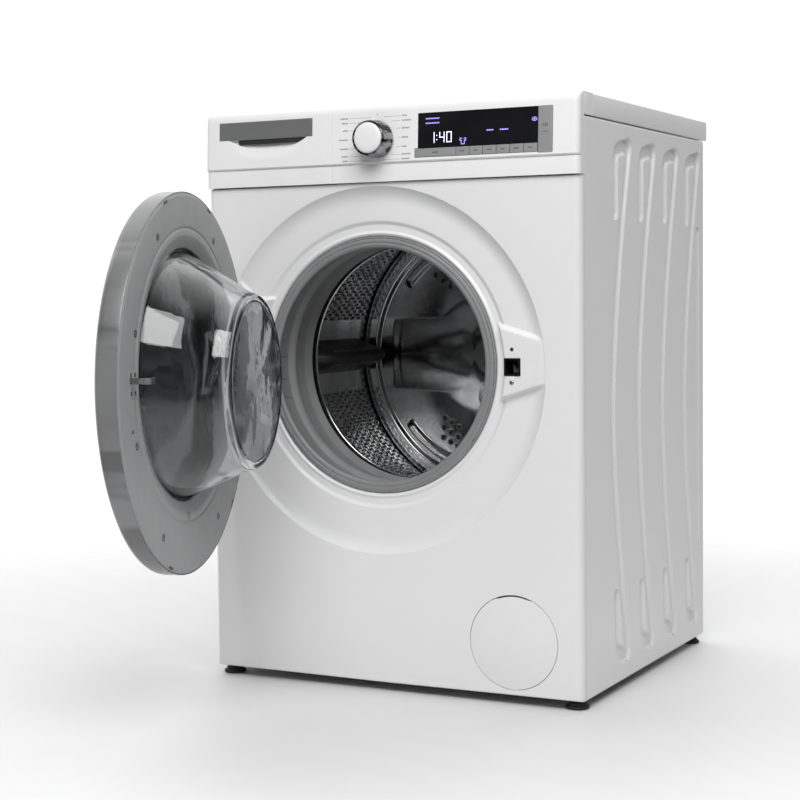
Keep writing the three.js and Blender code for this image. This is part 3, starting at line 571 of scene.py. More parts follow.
def border(x, low, high):
    """The outline of the panel's face, with small corners and evenly spaced points."""
    line = rounded(rectangle((-x, x), (low, high)), 2.5, 4)
    points = []
    for i, a in enumerate(line):
        b = line[(i + 1) % len(line)]
        count = 24 if np.linalg.norm(b - a) > 60 else 1
        points += [a + (b - a) * k / count for k in range(count)]
    return np.array(points)


def as_rows(loops, depths):
    rows = [np.insert(np.asarray(loop), 1, depth, axis=1) for loop, depth in zip(loops, depths)]
    return grid(rows, wrap_columns=True)


def fill(outline, *holes):
    """Flat triangles inside a closed line of (x, z) points and outside the holes in it."""
    points, edges, loop_of = [], [], []
    for number, loop in enumerate((outline, *holes)):
        start = len(points)
        points += [Vector(p) for p in loop]
        edges += [(start + i, start + (i + 1) % len(loop)) for i in range(len(loop))]
        loop_of += [number] * len(loop)
    made, _, faces, origins, *_ = delaunay_2d_cdt(points, edges, [], 0, 1e-5)
    loops = [loop_of[found[0]] for found in origins]
    kept = [tuple(f) for f in faces if len({loops[i] for i in f}) > 1 or loops[f[0]] == 0]
    return np.array([(p[0], 0, p[1]) for p in made]), kept


front_panel()

# ---- side panels

CHANNEL_PITCH = 106.5
CHANNEL_HALF = 11
CHANNEL_DEEP = 6


def distance_to(path, y, z):
    """The distance from every point to a broken line."""
    nearest = np.full(y.shape, 1e9)
    for a, b in zip(path[:-1], path[1:]):
        run = b - a
        share = np.clip(((y - a[0]) * run[0] + (z - a[1]) * run[1]) / (run @ run), 0, 1)
        away = np.hypot(y - a[0] - share * run[0], z - a[1] - share * run[1])
        nearest = np.minimum(nearest, away)
    return nearest


def channel_paths():
    """Four pressed channels, bowed forward at mid height and hooked forward at both ends."""
    hooks = []
    for i in range(4):
        bow = []
        for z in np.linspace(789, 46, 33):
            rise = (z - 410) / 380
            bow.append((119 + (73 if rise > 0 else 68) * abs(rise) ** 1.6, z))
        corners = [(133, 690), (134, 778), *bow, (140, 56), (134, 140)]
        hooks.append(curve([(y + i * CHANNEL_PITCH, z) for y, z in corners], 17, 6))
    return hooks


def side_panel(side):
    edge_in = [14, 2.6, 0.8, 0]
    edge_at = [0, 0, 0.8, 2.6]
    top = WORKTOP_BOTTOM - 1.8
    y_inner = np.linspace(SIDE_FRONT + 3, SIDE_BACK - 3, 400)
    z_inner = np.linspace(CABINET_BOTTOM + 3, top - 3, 320)

    def with_edges(low, inner, high):
        """Places across the panel, and how far its rolled edges turn inwards at them."""
        at = [[low + d for d in edge_at], inner, [high - d for d in edge_at[::-1]]]
        return np.concatenate(at), np.concatenate([edge_in, 0 * inner, edge_in[::-1]])

    ys, y_in = with_edges(SIDE_FRONT, y_inner, SIDE_BACK)
    zs, z_in = with_edges(CABINET_BOTTOM, z_inner, top)
    y, z = np.meshgrid(ys, zs)
    deep = np.zeros(y.shape)
    for path in channel_paths():
        deep = np.maximum(deep, 1 - ramp(distance_to(path, y, z), CHANNEL_HALF - 4, CHANNEL_HALF))
    back = distance_to(np.array([(510.0, 180.0), (510.0, 671.0)]), y, z)
    deep = np.maximum(deep, 1 - ramp(back, 4, 8))
    inward = np.add.outer(z_in, y_in) + CHANNEL_DEEP * deep
    points = np.stack([side * (HALF_WIDTH - inward), y, z], axis=2)
    word = "right" if side > 0 else "left"
    piece(f"side_skin_{word}", grid(points), enamel, "cabinet", 40, f"side_panel_{word}")


side_panel(-1)
side_panel(1)

# ---- worktop


def worktop():
    y0, y1 = span("top_cover")[1]
    outline = rounded(rectangle((-HALF_WIDTH, HALF_WIDTH), (y0, y1)), 4)
    rim = slab(outline, WORKTOP_BOTTOM, HEIGHT - 0.4, 2.2, along=2)
    piece("worktop_rim", rim, moulded, "cabinet", 32, "top_cover")
    trim = 17
    board_line = rounded(rectangle((-HALF_WIDTH + trim, HALF_WIDTH - trim),
                                   (y0 + 3, y1 - trim)), 6)
    piece("worktop_board", slab(board_line, HEIGHT - 3, HEIGHT, 0.5, along=2), laminate)


worktop()

# ---- fascia


def face_y(z):
    """The depth of the leaning face of the fascia at a height."""
    return -8 + (z - STRIP_TOP) * FASCIA_LEAN


def fascia_line():
    """The outline of the fascia seen from its end, with closely spaced points on its face."""
    face = [(face_y(z), z) for z in np.linspace(STRIP_TOP + 1.6, 838, 52)]
    crown = arc(8, 838, 12, 165, 90, 8)[1:]
    back = [(47, HEIGHT - 0.6), (47, 819), (14, 819), (14, FASCIA_BOTTOM)]
    strip = curve([(-5, FASCIA_BOTTOM), (-5, STRIP_TOP - 2.2), (-4.2, STRIP_TOP - 0.6),
                   (-6.4, STRIP_TOP - 0.4), (-8, STRIP_TOP + 1.6)], 0.5, 2)
    return [(8, FASCIA_BOTTOM)] + [tuple(p) for p in strip] + face[1:] + crown + back


def fascia(x0, x1, round_low, round_high, press=None):
    """The fascia between two places, with upright corners rounded where it meets the sides."""
    line = np.array(fascia_line())
    stations = []
    for place, radius, sign in ((x0, round_low, 1), (x1, round_high, -1)):
        turn = np.radians(np.linspace(90, 0, 7))
        found = [(place + sign * radius * (1 - sin(a)), radius * (1 - cos(a))) for a in turn]
        stations += found if sign > 0 else found[::-1]
    half = len(stations) // 2
    low, high = stations[:half], stations[half:]
    between = [(x, 0) for x in np.linspace(low[-1][0], high[0][0], 130)[1:-1]]
    rows = []
    for x, distance in low + between + high:
        moved = line.copy()
        moved[:, 0] = np.minimum(line[:, 0] + distance, np.maximum(line[:, 0], 13))
        if press is not None:
            moved[:, 0] += press(x, moved[:, 1]) * (line[:, 0] < 3)
        rows.append(places(x, *moved.T))
    return grid(rows, wrap_columns=True, cap=True)


PLATE_X = (-274, -114)
PLATE_Z = (808, 834)
SLOT_X = (-241.5, -129.5)
SLOT_Z = (801.2, 806.8)
DISH_X = (-260, -122)
DISH_DROP = 17.5


def dish_edge(x):
    """The lower edge of the finger dish, and how far a place is inside its two ends."""
    across = np.clip(abs(x - middle(DISH_X)) / ((DISH_X[1] - DISH_X[0]) / 2), 0, 1)
    return PLATE_Z[0] - DISH_DROP * (1 - across ** 2.2), 1 - across


def scoop(x, z):
    """The finger dish under the drawer's plate: crisp along its arc, soft below it."""
    edge, inside = dish_edge(x)
    ends = ramp(inside, 0, 0.12)
    crisp = 4.0 * ramp(z - edge, 0, 1.8) * ends
    hollow = 4.5 * ramp(z - edge, 0, 16) * ends
    soft = 2.0 * ramp(z - edge, -14, 0) * ramp(inside, 0, 0.5)
    return (crisp + hollow + soft) * (1 - ramp(z, PLATE_Z[0], PLATE_Z[0] + 1))


def drawer_front():
    piece("drawer_face", fascia(-HALF_WIDTH, FASCIA_SPLIT - 0.3, 9, 1.1, scoop), moulded, "drawer",
          30, "drawer_front")
    rows = []
    x = np.linspace(PLATE_X[0], PLATE_X[1], 129)
    lip = ramp(x, SLOT_X[0] - 7, SLOT_X[0] + 3) * ramp(-x, -SLOT_X[1] - 7, -SLOT_X[1] + 3)
    for share in np.linspace(0, 1, 9):
        z = PLATE_Z[0] + (PLATE_Z[1] - PLATE_Z[0]) * (1 - share)
        rows.append(places(x, face_y(z) - 0.5, z))
    for turn in np.radians(np.linspace(12, 90, 7)):
        z = PLATE_Z[0] - 1.0 * sin(turn) * lip
        y = face_y(PLATE_Z[0]) - 0.5 + 1.6 * (1 - cos(turn)) * lip
        rows.append(places(x, y, z))
    rows.append(rows[-1] + (0, 1.0, 0))
    piece("drawer_plate", grid(rows), plate_silver, "drawer", 40, thick=0.6)
    # painted shadow: a black slab behind the lip of the plate stands for the shade in the finger slot
    slot = plate(SLOT_X, SLOT_Z, 0, 9, 2.2, 0.3)
    slot[0][:, 1] += face_y(SLOT_Z[0]) + 1.3
    piece("drawer_slot_painted_shadow", slot, black_rubber, "drawer")


def control_side():
    shape = fascia(FASCIA_SPLIT, HALF_WIDTH, 0.4, 9)
    made = piece("control_face", shape, moulded, "cabinet", 30, "control_fascia")
    display_x, _, display_z = span("display_window")
    start_x = span("start_key")[0]
    key_x, _, key_z = span("delay_key")
    right = start_x[1] + 0.5
    for left, low, high in ((key_x[0] - 0.5, key_z[0] - 0.5, display_z[0] + 0.2),
                            (display_x[0] - 0.4, display_z[0] - 0.4, display_z[1] + 0.4)):
        carve(made, plate((left, right), (low, high), -20, 3, 0.6))
    backing = rectangle((key_x[0] - 3, start_x[1] + 3), (key_z[0] - 3, display_z[1] + 3))
    piece("window_backing", slab(backing, 2.2, 3.4), dark)


def leaning(x, z, proud, deep, radius=0.8, soft=0.35):
    """A plate that follows the lean of the face."""
    points, faces = plate(x, z, 0, deep, radius, soft)
    points[:, 1] += face_y(points[:, 2]) - proud
    return points, faces


def marks(bars, proud):
    """Flat printed bars, each (left, right, low, high)."""
    return merged(*[leaning((a, b), (c, d), proud, 0.12, 0.15, 0.03) for a, b, c, d in bars])


def bar_row(left, pitch, width, level, count):
    """Bars of one width side by side, standing in for a word; level is their low and high."""
    return [(left + pitch * i, left + pitch * i + width, *level) for i in range(count)]


def seven_segments(x, z, width, lit, height=15, bar=1.25):
    """The lit bars of one figure of a clock display, named a to g as on any such display."""
    half = height / 2
    left, right, whole = (x, x + bar), (x + width - bar, x + width), (x, x + width)
    low, high = (z, z + half), (z + half, z + height)
    bars = dict(a=(*whole, z + height - bar, z + height), b=(*right, *high), c=(*right, *low),
                d=(*whole, z, z + bar), e=(*left, *low), f=(*left, *high),
                g=(*whole, z + half - bar / 2, z + half + bar / 2))
    return [bars[name] for name in lit]


def display():
    x, _, z = span("display_window")
    piece("display_glass", leaning(x, z, 0.3, 4), gloss, replaces="display_window")
    figures = [(86.8, 88.2, level, level + 1.4) for level in (792, 798)]
    for left, width, lit in ((79, 5, "bc"), (91.5, 8, "fgbc"), (102.5, 8, "abcdef")):
        figures += seven_segments(left, 788.5, width, lit)
    piece("display_time", marks(figures, 0.36), glow_white)
    words = bar_row(70, 2.4, 1.8, (815.6, 817.3), 9) + bar_row(70, 2.4, 1.8, (822, 823.7), 9)
    words += bar_row(164, 2.7, 2, (801.4, 803.2), 4) + bar_row(184, 2.6, 2, (801.4, 803.2), 5)
    shirt = [(125, 126, 785, 791), (129.8, 130.8, 785, 791), (125, 130.8, 784.6, 785.6),
             (123, 124, 790, 793), (131.8, 132.8, 790, 793), (123, 126.6, 792.6, 793.6),
             (129.2, 132.8, 792.6, 793.6), (123, 125, 789.4, 790.3), (130.8, 132.8, 789.4, 790.3)]
    piece("display_marks", marks(words + shirt, 0.36), glow_violet)
    eye = []
    for across, up, inner in ((3.8, 2.8, 0.72), (1.3, 1.3, 0.0)):
        turn = np.linspace(0, 2 * pi, 25)
        rows = [np.column_stack([235.5 + scale * across * np.cos(turn), np.full(25, -0.36),
                                 814 + scale * up * np.sin(turn)]) for scale in (1, inner)]
        for row in rows:
            row[:, 1] += face_y(row[:, 2])
        eye.append(grid(rows))
    piece("display_badge", eye, glow_violet)


def key(name, label):
    x, _, z = span(name)
    piece(name + "_cap", leaning(x, z, 0.7, 6, 0.7, 0.5), silver, name + "_body", 32, name)
    piece(name + "_mark", marks(label, 0.74), print_dark, name + "_body")


def keys():
    def label(name, count):
        x, _, z = span(name)
        return bar_row(middle(x) - count, 1.9, 1.4, (middle(z) - 0.7, middle(z) + 0.9), count)

    key("delay_key", [(a + 0.6, b + 0.6, *level) for a, b, *level in label("delay_key", 5)])
    for number in range(1, 7):
        name = f"option_key_{number}"
        key(name, label(name, 3 + number % 2))
    centre = middle(span("start_key")[0])
    bars = [(-2.6, -1.6, 803, 808), (0.2, 1.2, 803, 808), (2.2, 3.2, 803, 808),
            (-4.5, 4.5, 796, 796.7)]
    key("start_key", [(centre + a, centre + b, *level) for a, b, *level in bars])


def dial_prints():
    """Seven programme lines each side of the dial, a dot over it and plain stand-ins for words."""
    lines, words = [], []
    for k in range(-3, 4):
        level = DIAL_Z + 1 + 32 * sin(radians(24 * k))
        reach = 33 * cos(radians(24 * k))
        lines.append((DIAL_X - 46, DIAL_X - reach, level - 0.22, level + 0.22))
        lines.append((DIAL_X + reach, DIAL_X + 37, level - 0.22, level + 0.22))
        for sign, start in ((-1, DIAL_X - 49), (1, DIAL_X + 40)):
            count = 4 + (k * 5 + sign) % 4
            for i in range(count):
                left = start + sign * 2.1 * i
                words.append((left - 0.8, left + 0.8, level - 0.9, level + 1.2))
    words.append((DIAL_X - 0.8, DIAL_X + 0.8, DIAL_Z + 34.2, DIAL_Z + 35.8))
    piece("dial_prints", marks(lines + words, 0.1), print_grey)


def polar(points, x, z):
    """The radius and angle of points about an axis that runs front to back."""
    return (np.hypot(points[:, 0] - x, points[:, 2] - z),
            np.arctan2(points[:, 2] - z, points[:, 0] - x))


def push_out(points, around, distance):
    points[:, 0] += distance * np.cos(around)
    points[:, 2] += distance * np.sin(around)


def dial():
    """A white cap set in a plated skirt with fine grip flutes."""
    profile = rounded([(26.6, -8.1), (27, -12), (25.2, -33), (24.4, -36.4), (22.4, -36.2),
                       (22, -34), (22, -8.1)], 0.8, 3)
    points, faces = turned(profile, DIAL_X, DIAL_Z, 240)
    reach, around = polar(points, DIAL_X, DIAL_Z)
    flute = 0.35 * (np.cos(around * 40) < 0) * ((reach > 24.6) & (points[:, 1] > -30))
    push_out(points, around, -flute)
    piece("dial_skirt", (points, faces), dark_chrome_painted_reflections, "dial", 28, "dial_ring")
    line = [(0, -38.3), (13, -38.2), (19, -37.7), (21, -36.9), (21.7, -35.6), (21.8, -34),
            (18, -33), (0, -33)]
    piece("dial_cap", spun(line, DIAL_X, DIAL_Z, 160), moulded, "dial", 40, "dial_knob")


drawer_front()
control_side()
display()
keys()
dial_prints()
dial()

# ---- gasket


def ribbon(line, thick):
    """A closed outline made by giving an open 2D line a thickness on its left."""
    line = np.array(line, float)
    ahead = np.gradient(line, axis=0)
    ahead /= np.linalg.norm(ahead, axis=1, keepdims=True) + 1e-9
    left = np.column_stack([-ahead[:, 1], ahead[:, 0]])
    return np.vstack([line, (line + left * thick)[::-1]])


def gasket():
    lip = curve([(184.4, 27), (184.4, 13.6), (182.0, 13.2), (181.2, 11.2), (178.6, 10.8),
                 (177.8, 11.6), (177.3, 15.0), (176.6, 15.0), (176.0, 11.4), (173.4, 11.0),
                 (171, 12.6), (171.4, 16)], 0.7, 3)
    folds = curve([(171.6, 17), (176, 22.5), (181, 28), (181.4, 56), (176, 62.5), (174.4, 66.5),
                   (176, 72), (183.5, 82), (183.5, 108), (177, 122)], 2.6, 4)
    shape = turned(ribbon(np.vstack([lip, folds]), 1.9), AXIS_X, AXIS_Z, 240)
    piece("gasket", shape, rubber, "cabinet", 40, "door_gasket")
    ribs = []
    for low, high, angle in ((30, 50, 168), (33, 52, 176), (31, 48, 187), (34, 54, 196)):
        path = [about_axis(179, radians(angle) + 0.0012 * (y - low), y) for y in (low, high)]
        ribs.append(tube(path, 0.7, 6))
    piece("gasket_marks", ribs, rubber)


def clamp_wire():
    """The wire that holds the gasket on the panel, drawn tight by a small spring."""
    radius, depth = 183.2, 11.6
    first, last = radians(-17), radians(-38)

    def at(angle, reach=radius):
        return np.array(about_axis(reach, angle, depth))

    around = np.linspace(first, last + 2 * pi, 150)
    piece("clamp_wire", tube([at(a) for a in around], 0.9, 8), steel)
    start, end = at(first, radius + 0.5), at(last, radius + 0.5)
    along = (end - start) / np.linalg.norm(end - start)
    out = np.cross(along, (0, 1, 0))
    coils = []
    for t in np.linspace(0, 1, 420):
        turn = t * 26 * 2 * pi
        centre = start + (end - start) * (0.08 + 0.84 * t)
        coils.append(centre + 1.6 * (out * cos(turn) + np.array((0, 1, 0)) * sin(turn)))
    hooks = [tube([start, start + (end - start) * 0.09], 0.6, 8),
             tube([end, end + (start - end) * 0.09], 0.6, 8)]
    piece("clamp_spring", [tube(coils, 0.5, 6), *hooks], steel)


gasket()
clamp_wire()

# ---- drum

LIFTER_ANGLES = (180, 300, 60)
WALL_FRONT = 166
HOLE_RADIUS = 1.9
END_DEPTH = 408
LIFTER_FOOT = 234.6
ARM_HALF = 66
ARM_HIGH = 17


def wall_radius(angle, y):
    """The drum wall with its shallow diamond embossing."""
    lift = np.cos(9 * angle + y / 13.5) * np.cos(9 * angle - y / 13.5)
    return DRUM_RADIUS + 0.2 - 1.5 * lift * ramp(y, 170, 190) * ramp(400 - y, 0, 15)


def near_lifter(angle, reach):
    degrees = np.degrees(angle) % 360
    return any(abs((degrees - a + 180) % 360 - 180) < reach for a in LIFTER_ANGLES)


def drum_wall():
    columns, half_cell = 252, 11.5
    levels = 21
    step = 2 * pi / columns
    points, index, faces = [], {}, []

    def vertex(angle, y, key=None):
        key = key or (round(angle / step * 8) % (columns * 8), round(y * 8))
        if key not in index:
            index[key] = len(points)
            points.append(about_axis(wall_radius(angle, y), angle, y))
        return index[key]

    for c in range(columns):
        a0, a1 = c * step, (c + 1) * step
        mid = (a0 + a1) / 2
        k = 0
        while k < levels:
            y0 = WALL_FRONT + k * half_cell
            if (k == 0 and c % 2) or k == levels - 1:
                y1 = y0 + half_cell
                faces.append([vertex(a0, y0), vertex(mid, y0), vertex(a1, y0), vertex(a1, y1),
                              vertex(mid, y1), vertex(a0, y1)])
                k += 1
                continue
            y1 = y0 + 2 * half_cell
            ym = y0 + half_cell
            rim = [vertex(a, y) for a, y in ((a1, ym), (a1, y1), (mid, y1), (a0, y1),
                                             (a0, ym), (a0, y0), (mid, y0), (a1, y0))]
            if 176 < ym < 396 and not near_lifter(mid, 14):
                hole = []
                for i in range(8):
                    turn = radians(45 * i)
                    angle = mid + HOLE_RADIUS / DRUM_RADIUS * cos(turn)
                    hole.append(vertex(angle, ym + HOLE_RADIUS * sin(turn), (c, k, i)))
                for i in range(8):
                    j = (i + 1) % 8
                    faces.append([rim[i], rim[j], hole[j], hole[i]])
            else:
                faces.append(rim)
            k += 2
    return np.array(points), faces


def drum():
    piece("drum_wall", drum_wall(), drum_steel, "drum", 60, "drum_shell", 0.8)
    front = curve([(DRUM_LIP + 3, 141), (DRUM_LIP + 0.4, 137), (DRUM_LIP + 0.6, 134.6), (178, 134),
                   (214, 145), (231, 153), (237.6, 160), (238.2, 167)], 3, 4)
    piece("drum_nose", turned(ribbon(front, 0.9), AXIS_X, AXIS_Z, 240), polish_and_painted_highlight, "drum", 40)


def back_depth(radius, degrees):
    """How far back the pressed end of the drum lies."""
    depth = END_DEPTH - 6.5 * ramp(radius, 206, 214) * (1 - 0.5 * ramp(radius, 226, 236))
    raised = ramp(110 - radius, 0, 90)
    turn = np.radians(degrees)
    for arm in LIFTER_ANGLES:
        along = radius * np.cos(turn - radians(arm))
        across = abs(radius * np.sin(turn - radians(arm)))
        round_back = np.clip(1 - (across / (ARM_HALF - 0.05 * along)) ** 2, 0, 1) ** 0.8
        steps = 0.55 * ramp(183 - along, 0, 5) + 0.45 * ramp(168 - along, 0, 9)
        raised = np.maximum(raised, round_back * steps * (along > 0))
    depth = depth - ARM_HIGH * raised
    for centre in range(0, 360, 120):
        away = abs((degrees - centre + 180) % 360 - 180)
        ridge = ramp(9 - abs(radius - 192), 0, 6) * ramp(24 - away, 0, 4)
        depth = depth - 6.5 * ridge
    return depth


def drum_end():
    radii = np.concatenate([[0.01], np.linspace(2, 236.6, 190)])
    angles = np.linspace(0, 360, 540, endpoint=False)
    radius, degrees = np.meshgrid(radii, angles, indexing="ij")
    depth = back_depth(radius, degrees)
    points = np.stack(about_axis(radius, np.radians(degrees), depth), axis=2)
    piece("drum_end", grid(points, wrap_columns=True), stainless, "drum", 50, "drum_back", -0.8)
    rims, bore_painted_shades = [], []
    for turn in np.radians((0, 120, 240)):
        out, side = np.array((cos(turn), sin(turn))), np.array((-sin(turn), cos(turn)))
        for i in range(-1, 2):
            for j in range(-1, 2):
                at = out * (150 + 15 * i) + side * (15 * j + 7 * i)
                x, z = AXIS_X + at[0], AXIS_Z + at[1]
                level = back_depth(np.hypot(*at), np.degrees(atan2(at[1], at[0])))
                line = [(4.2, level + 0.4), (4.3, level - 0.9), (5.0, level - 1.1),
                        (6.2, level + 0.2)]
                rims.append(turned(line, x, z, 20))
                # painted shade: black discs inside the rims stand for the holes in the drum's end
                bore_painted_shades.append(spun([(0, level - 0.55), (4.3, level - 0.6), (4.3, level + 0.6),
                                   (0, level + 0.6)], x, z, 20))
    piece("drum_end_rims", rims, stainless, "drum", 50)
    piece("drum_end_bore_painted_shades", bore_painted_shades, black_rubber, "drum")


def lifter(number, degrees):
    foot = LIFTER_FOOT
    line = curve([(-27, foot), (-17, 206), (-9, 186), (0, 178.5), (9, 186), (17, 206), (27, foot)],
                 9, 5)
    line = np.array([(-27, foot + 1)] + [tuple(p) for p in line] + [(27, foot + 1)])
    turn = radians(degrees)
    out, side = np.array((cos(turn), sin(turn))), np.array((sin(turn), -cos(turn)))
    rows = []
    for y in np.concatenate([np.linspace(177, 215, 12), np.linspace(222, 370, 16),
                             np.linspace(376, 398.5, 9)]):
        height = 0.06 + 0.94 * sqrt(max(0.0, float(ramp(y, 172, 216) * ramp(402 - y, 0, 30))))
        width = 0.72 + 0.28 * height
        reach = foot - (foot - line[:, 1]) * height
        at = np.outer(reach, out) + np.outer(line[:, 0] * width, side)
        rows.append(places(AXIS_X + at[:, 0], y, AXIS_Z + at[:, 1]))
    piece(f"lifter_cover_{number}", grid(rows, wrap_columns=True, cap=True), lifter_grey, "drum",
          40, f"lifter_{number}")
    studs = []
    for sign in (-1, 1):
        for y in np.linspace(222, 372, 14):
            at = out * 190 + side * 10.9 * sign
            normal = -out * 0.5 + side * 0.86 * sign
            studs.append(dome(np.array((AXIS_X + at[0], y, AXIS_Z + at[1])),
                              np.array((normal[0], 0, normal[1])), 1.9, 1.0))
    piece(f"lifter_studs_{number}", studs, tub_grey, "drum")


def dome(centre, up, radius, height, steps=12):
    """A low round stud standing along a direction."""
    up = up / np.linalg.norm(up)
    side = np.cross(up, (0.1, 1, 0.2))
    side /= np.linalg.norm(side)
    other = np.cross(up, side)
    rows = []
    for share in (1.0, 0.92, 0.7, 0.38, 0.02):
        middle_point = centre + up * (height * sqrt(1 - share ** 2) - 0.2)
        rows.append([middle_point + radius * share * (side * cos(a) + other * sin(a))
                     for a in full_turn(steps)])
    return grid(rows, wrap_columns=True, cap=True)


drum()
drum_end()
for count, angle in enumerate(LIFTER_ANGLES, 1):
    lifter(count, angle)

# ---- lock and service flap


def lock():
    square = [rounded(rectangle(*round_about(LOCK_X, LOCK_Z, half)), 1.2, 3)
              for half in (12.6, 12.2, 9.6, 9.2, 9.2, 11.4, 11.4)]
    depths = [1.2, -0.5, -0.5, 0.4, 7, 10, 30]
    piece("lock_frame", as_rows(square, depths), gloss, replaces="door_lock")
    back = plate(*round_about(LOCK_X, LOCK_Z, 9), 29, 31)
    slope = slab([(LOCK_X - 8.6, LOCK_Z - 8.6), (LOCK_X + 3, LOCK_Z - 8.6),
                  (LOCK_X - 8.6, LOCK_Z + 4)], 22.8, 28, 0.8)
    catch = plate((LOCK_X + 4, LOCK_X + 8), (LOCK_Z - 1, LOCK_Z + 5), 18, 28, 0.8)
    piece("lock_inside", [back, catch], dark)
    piece("lock_slope", slope, tub_grey)
    tab = [(LOCK_X + across, LOCK_Z + up)
           for across, up in ((-9, -13), (7, -13), (2.5, -19), (-4.5, -19))]
    piece("lock_tab", slab(rounded(tab, 1.0, 3), -0.2, 1.2, 0.3), moulded)
    piece("lock_screw", screw(LOCK_X - 1, LOCK_Z - 21.5, 0.5, 3.2), steel)
    # painted shade: a dark disc at the panel's face stands for the lock's release hole
    pin_hole_painted_shade = spun([(0, 0.4), (2.4, 0.4), (2.6, 0.2), (2.6, 0.8), (0, 0.8)], LOCK_X - 0.5,
                    LOCK_Z + 24.5, 24)
    piece("lock_release_hole_painted_shade", pin_hole_painted_shade, dark)


def flap():
    angles = full_turn(180)
    degrees = np.degrees(angles)
    finger_notch = 1.5 * ramp(26 - abs(degrees - 90), 0, 8)
    hinge_foot = 0.5 * ramp(5 - abs(degrees - 270), 0, 1)
    radius = FLAP_RADIUS - finger_notch + hinge_foot
    outline = np.column_stack([FLAP_X + radius * np.cos(angles), FLAP_Z + radius * np.sin(angles)])
    piece("flap_cover", slab(outline, 0.05, 2.6, 0.7), enamel, "flap",
          replaces="service_flap")
    cup = turned([(67, 9.5), (67, 12), (36, 12.2), (36, 13.6), (68.5, 13.6), (68.5, 9.5)],
                 FLAP_X, FLAP_Z, 96)
    piece("filter_surround", cup, dark)


def back_fittings():
    """The screws round the back panel, its transport bolt caps and the plug for the cord hole."""
    panel_x, _, panel_z = span("back_panel")
    face = span("back_panel")[1][0] + 1
    screws = []
    for z in np.linspace(panel_z[0] + 25, panel_z[1] - 25, 5):
        for x in (panel_x[0] + 8, panel_x[1] - 8):
            screws.append(screw(x, z, face, 4, facing=1))
    for x in np.linspace(panel_x[0] + 150, panel_x[1] - 150, 3):
        screws.append(screw(x, panel_z[0] + 8, face, 4, facing=1))
    piece("back_screws", screws, steel)
    cap = curve([(0.01, face + 3.2), (9, face + 3.2), (13, face + 2.4), (17.5, face + 1.6),
                 (18, face), (0.01, face)], 0.8, 3)
    caps = [spun(cap, AXIS_X + side * 205, AXIS_Z + up, 48)
            for side in (-1, 1) for up in (-165, 150)]
    piece("transport_caps", caps, moulded)
    plug = curve([(0.01, face + 2), (8, face + 2), (11, face + 1.2), (11.5, face), (0.01, face)],
                 0.6, 3)
    piece("cord_hole_plug", spun(plug, 236, 742, 40), dark)


lock()
flap()
back_fittings()

# ---- feet


def turned_up(line, x, y, steps=64):
    """A line of (radius, z) points turned about an upright axis."""
    points, faces = spun(line, 0, 0, steps)
    return places(x + points[:, 0], y + points[:, 2], points[:, 1]), faces


def foot(name):
    x, y, _ = (middle(s) for s in span(name))
    pad = curve([(0.01, 0), (15.5, 0), (17, 1.4), (16.2, 4.2), (13.5, 5.2), (12.5, 8.6), (9, 9.2),
                 (0.01, 9.2)], 0.7, 3)
    piece(name + "_pad", turned_up(pad, x, y), black_rubber, name + "_body", 32, name)
    turns = []
    for t in np.linspace(0, 4, 120):
        turn = t * 2 * pi
        turns.append((x + 4.6 * cos(turn), y + 4.6 * sin(turn), 9 + 2.4 + t * 1.25))
    stud = turned_up([(0.01, 8), (4.4, 8), (4.4, 17), (0.01, 17)], x, y, 32)
    piece(name + "_stud", [stud, tube(turns, 0.5, 6)], steel, name + "_body")


for place in ("front_left", "front_right", "rear_left", "rear_right"):
    foot("foot_" + place)

# ---- door


def deep(depth):
    """A distance into the door, measured away from the cabinet."""
    return DOOR_FACE - depth


def risen(shape, rise=None):
    """The hole of a ring is centred higher than its round outside."""
    points, faces = shape
    points = np.array(points)
    distance = polar(points, AXIS_X, DOOR_Z)[0]
    share = np.clip((DOOR_RADIUS - distance) / (DOOR_RADIUS - 205), 0, 1)
    points[:, 2] += BOWL_RISE * share if rise is None else rise(distance, points[:, 1])
    return points, faces


def into_door(line):
    """A line of (radius, depth into the door) points as a line of (radius, y) points."""
    return [(radius, deep(depth)) for radius, depth in line]


def on_ring(across, up):
    return AXIS_X + across, DOOR_Z + up


def hinge_room():
    """The space in the door that the hinge needs, and the slots for its two lugs."""
    half, centre = 46, AXIS_Z
    outline = [(x, max(y, deep(30))) for x, y in circle(HINGE_X, HINGE_Y, 36, 48)]
    shapes = [slab(outline, centre - half, centre + half, 0.01, along=2)]
    for side in (-1, 1):
        middle_z = centre + side * 34
        slot = rectangle((HINGE_X - 40, HINGE_X - 4.5), (deep(40), deep(-1)))
        shapes.append(slab(slot, middle_z - 4, middle_z + 4, 0.01, along=2))
    return shapes


def door_rings():
    face = rounded(into_door([(172, 6), (186.5, 0.6), (189, 0), (195, 0), (196.5, 0.9), (199, 0.9),
                              (200.5, 0), (253, 0), (254.5, 0.7), (257.4, 0.7), (257.6, 4),
                              (191, 4), (177, 10), (172, 10)]), 0.8, 3)
    inner = piece("door_ring_face", risen(turned(face, AXIS_X, DOOR_Z, 240)), ring_grey, "door",
                  replaces="door_inner_ring")
    rim = rounded(into_door([(258.9, 1.0), (259, 24), (256.8, 29.5), (251, 32.8), (208, 33),
                             (203.4, 32), (203.2, 30), (250, 30), (256, 23), (256.3, 4.6),
                             (258, 4.4), (258, 1.0)]), 2.4, 4)
    outer = piece("door_rim", risen(turned(rim, AXIS_X, DOOR_Z, 300)), rim_silver_painted_reflections, "door",
                  replaces="door_outer_ring")
    for target in (inner, outer):
        carve(target, *hinge_room())


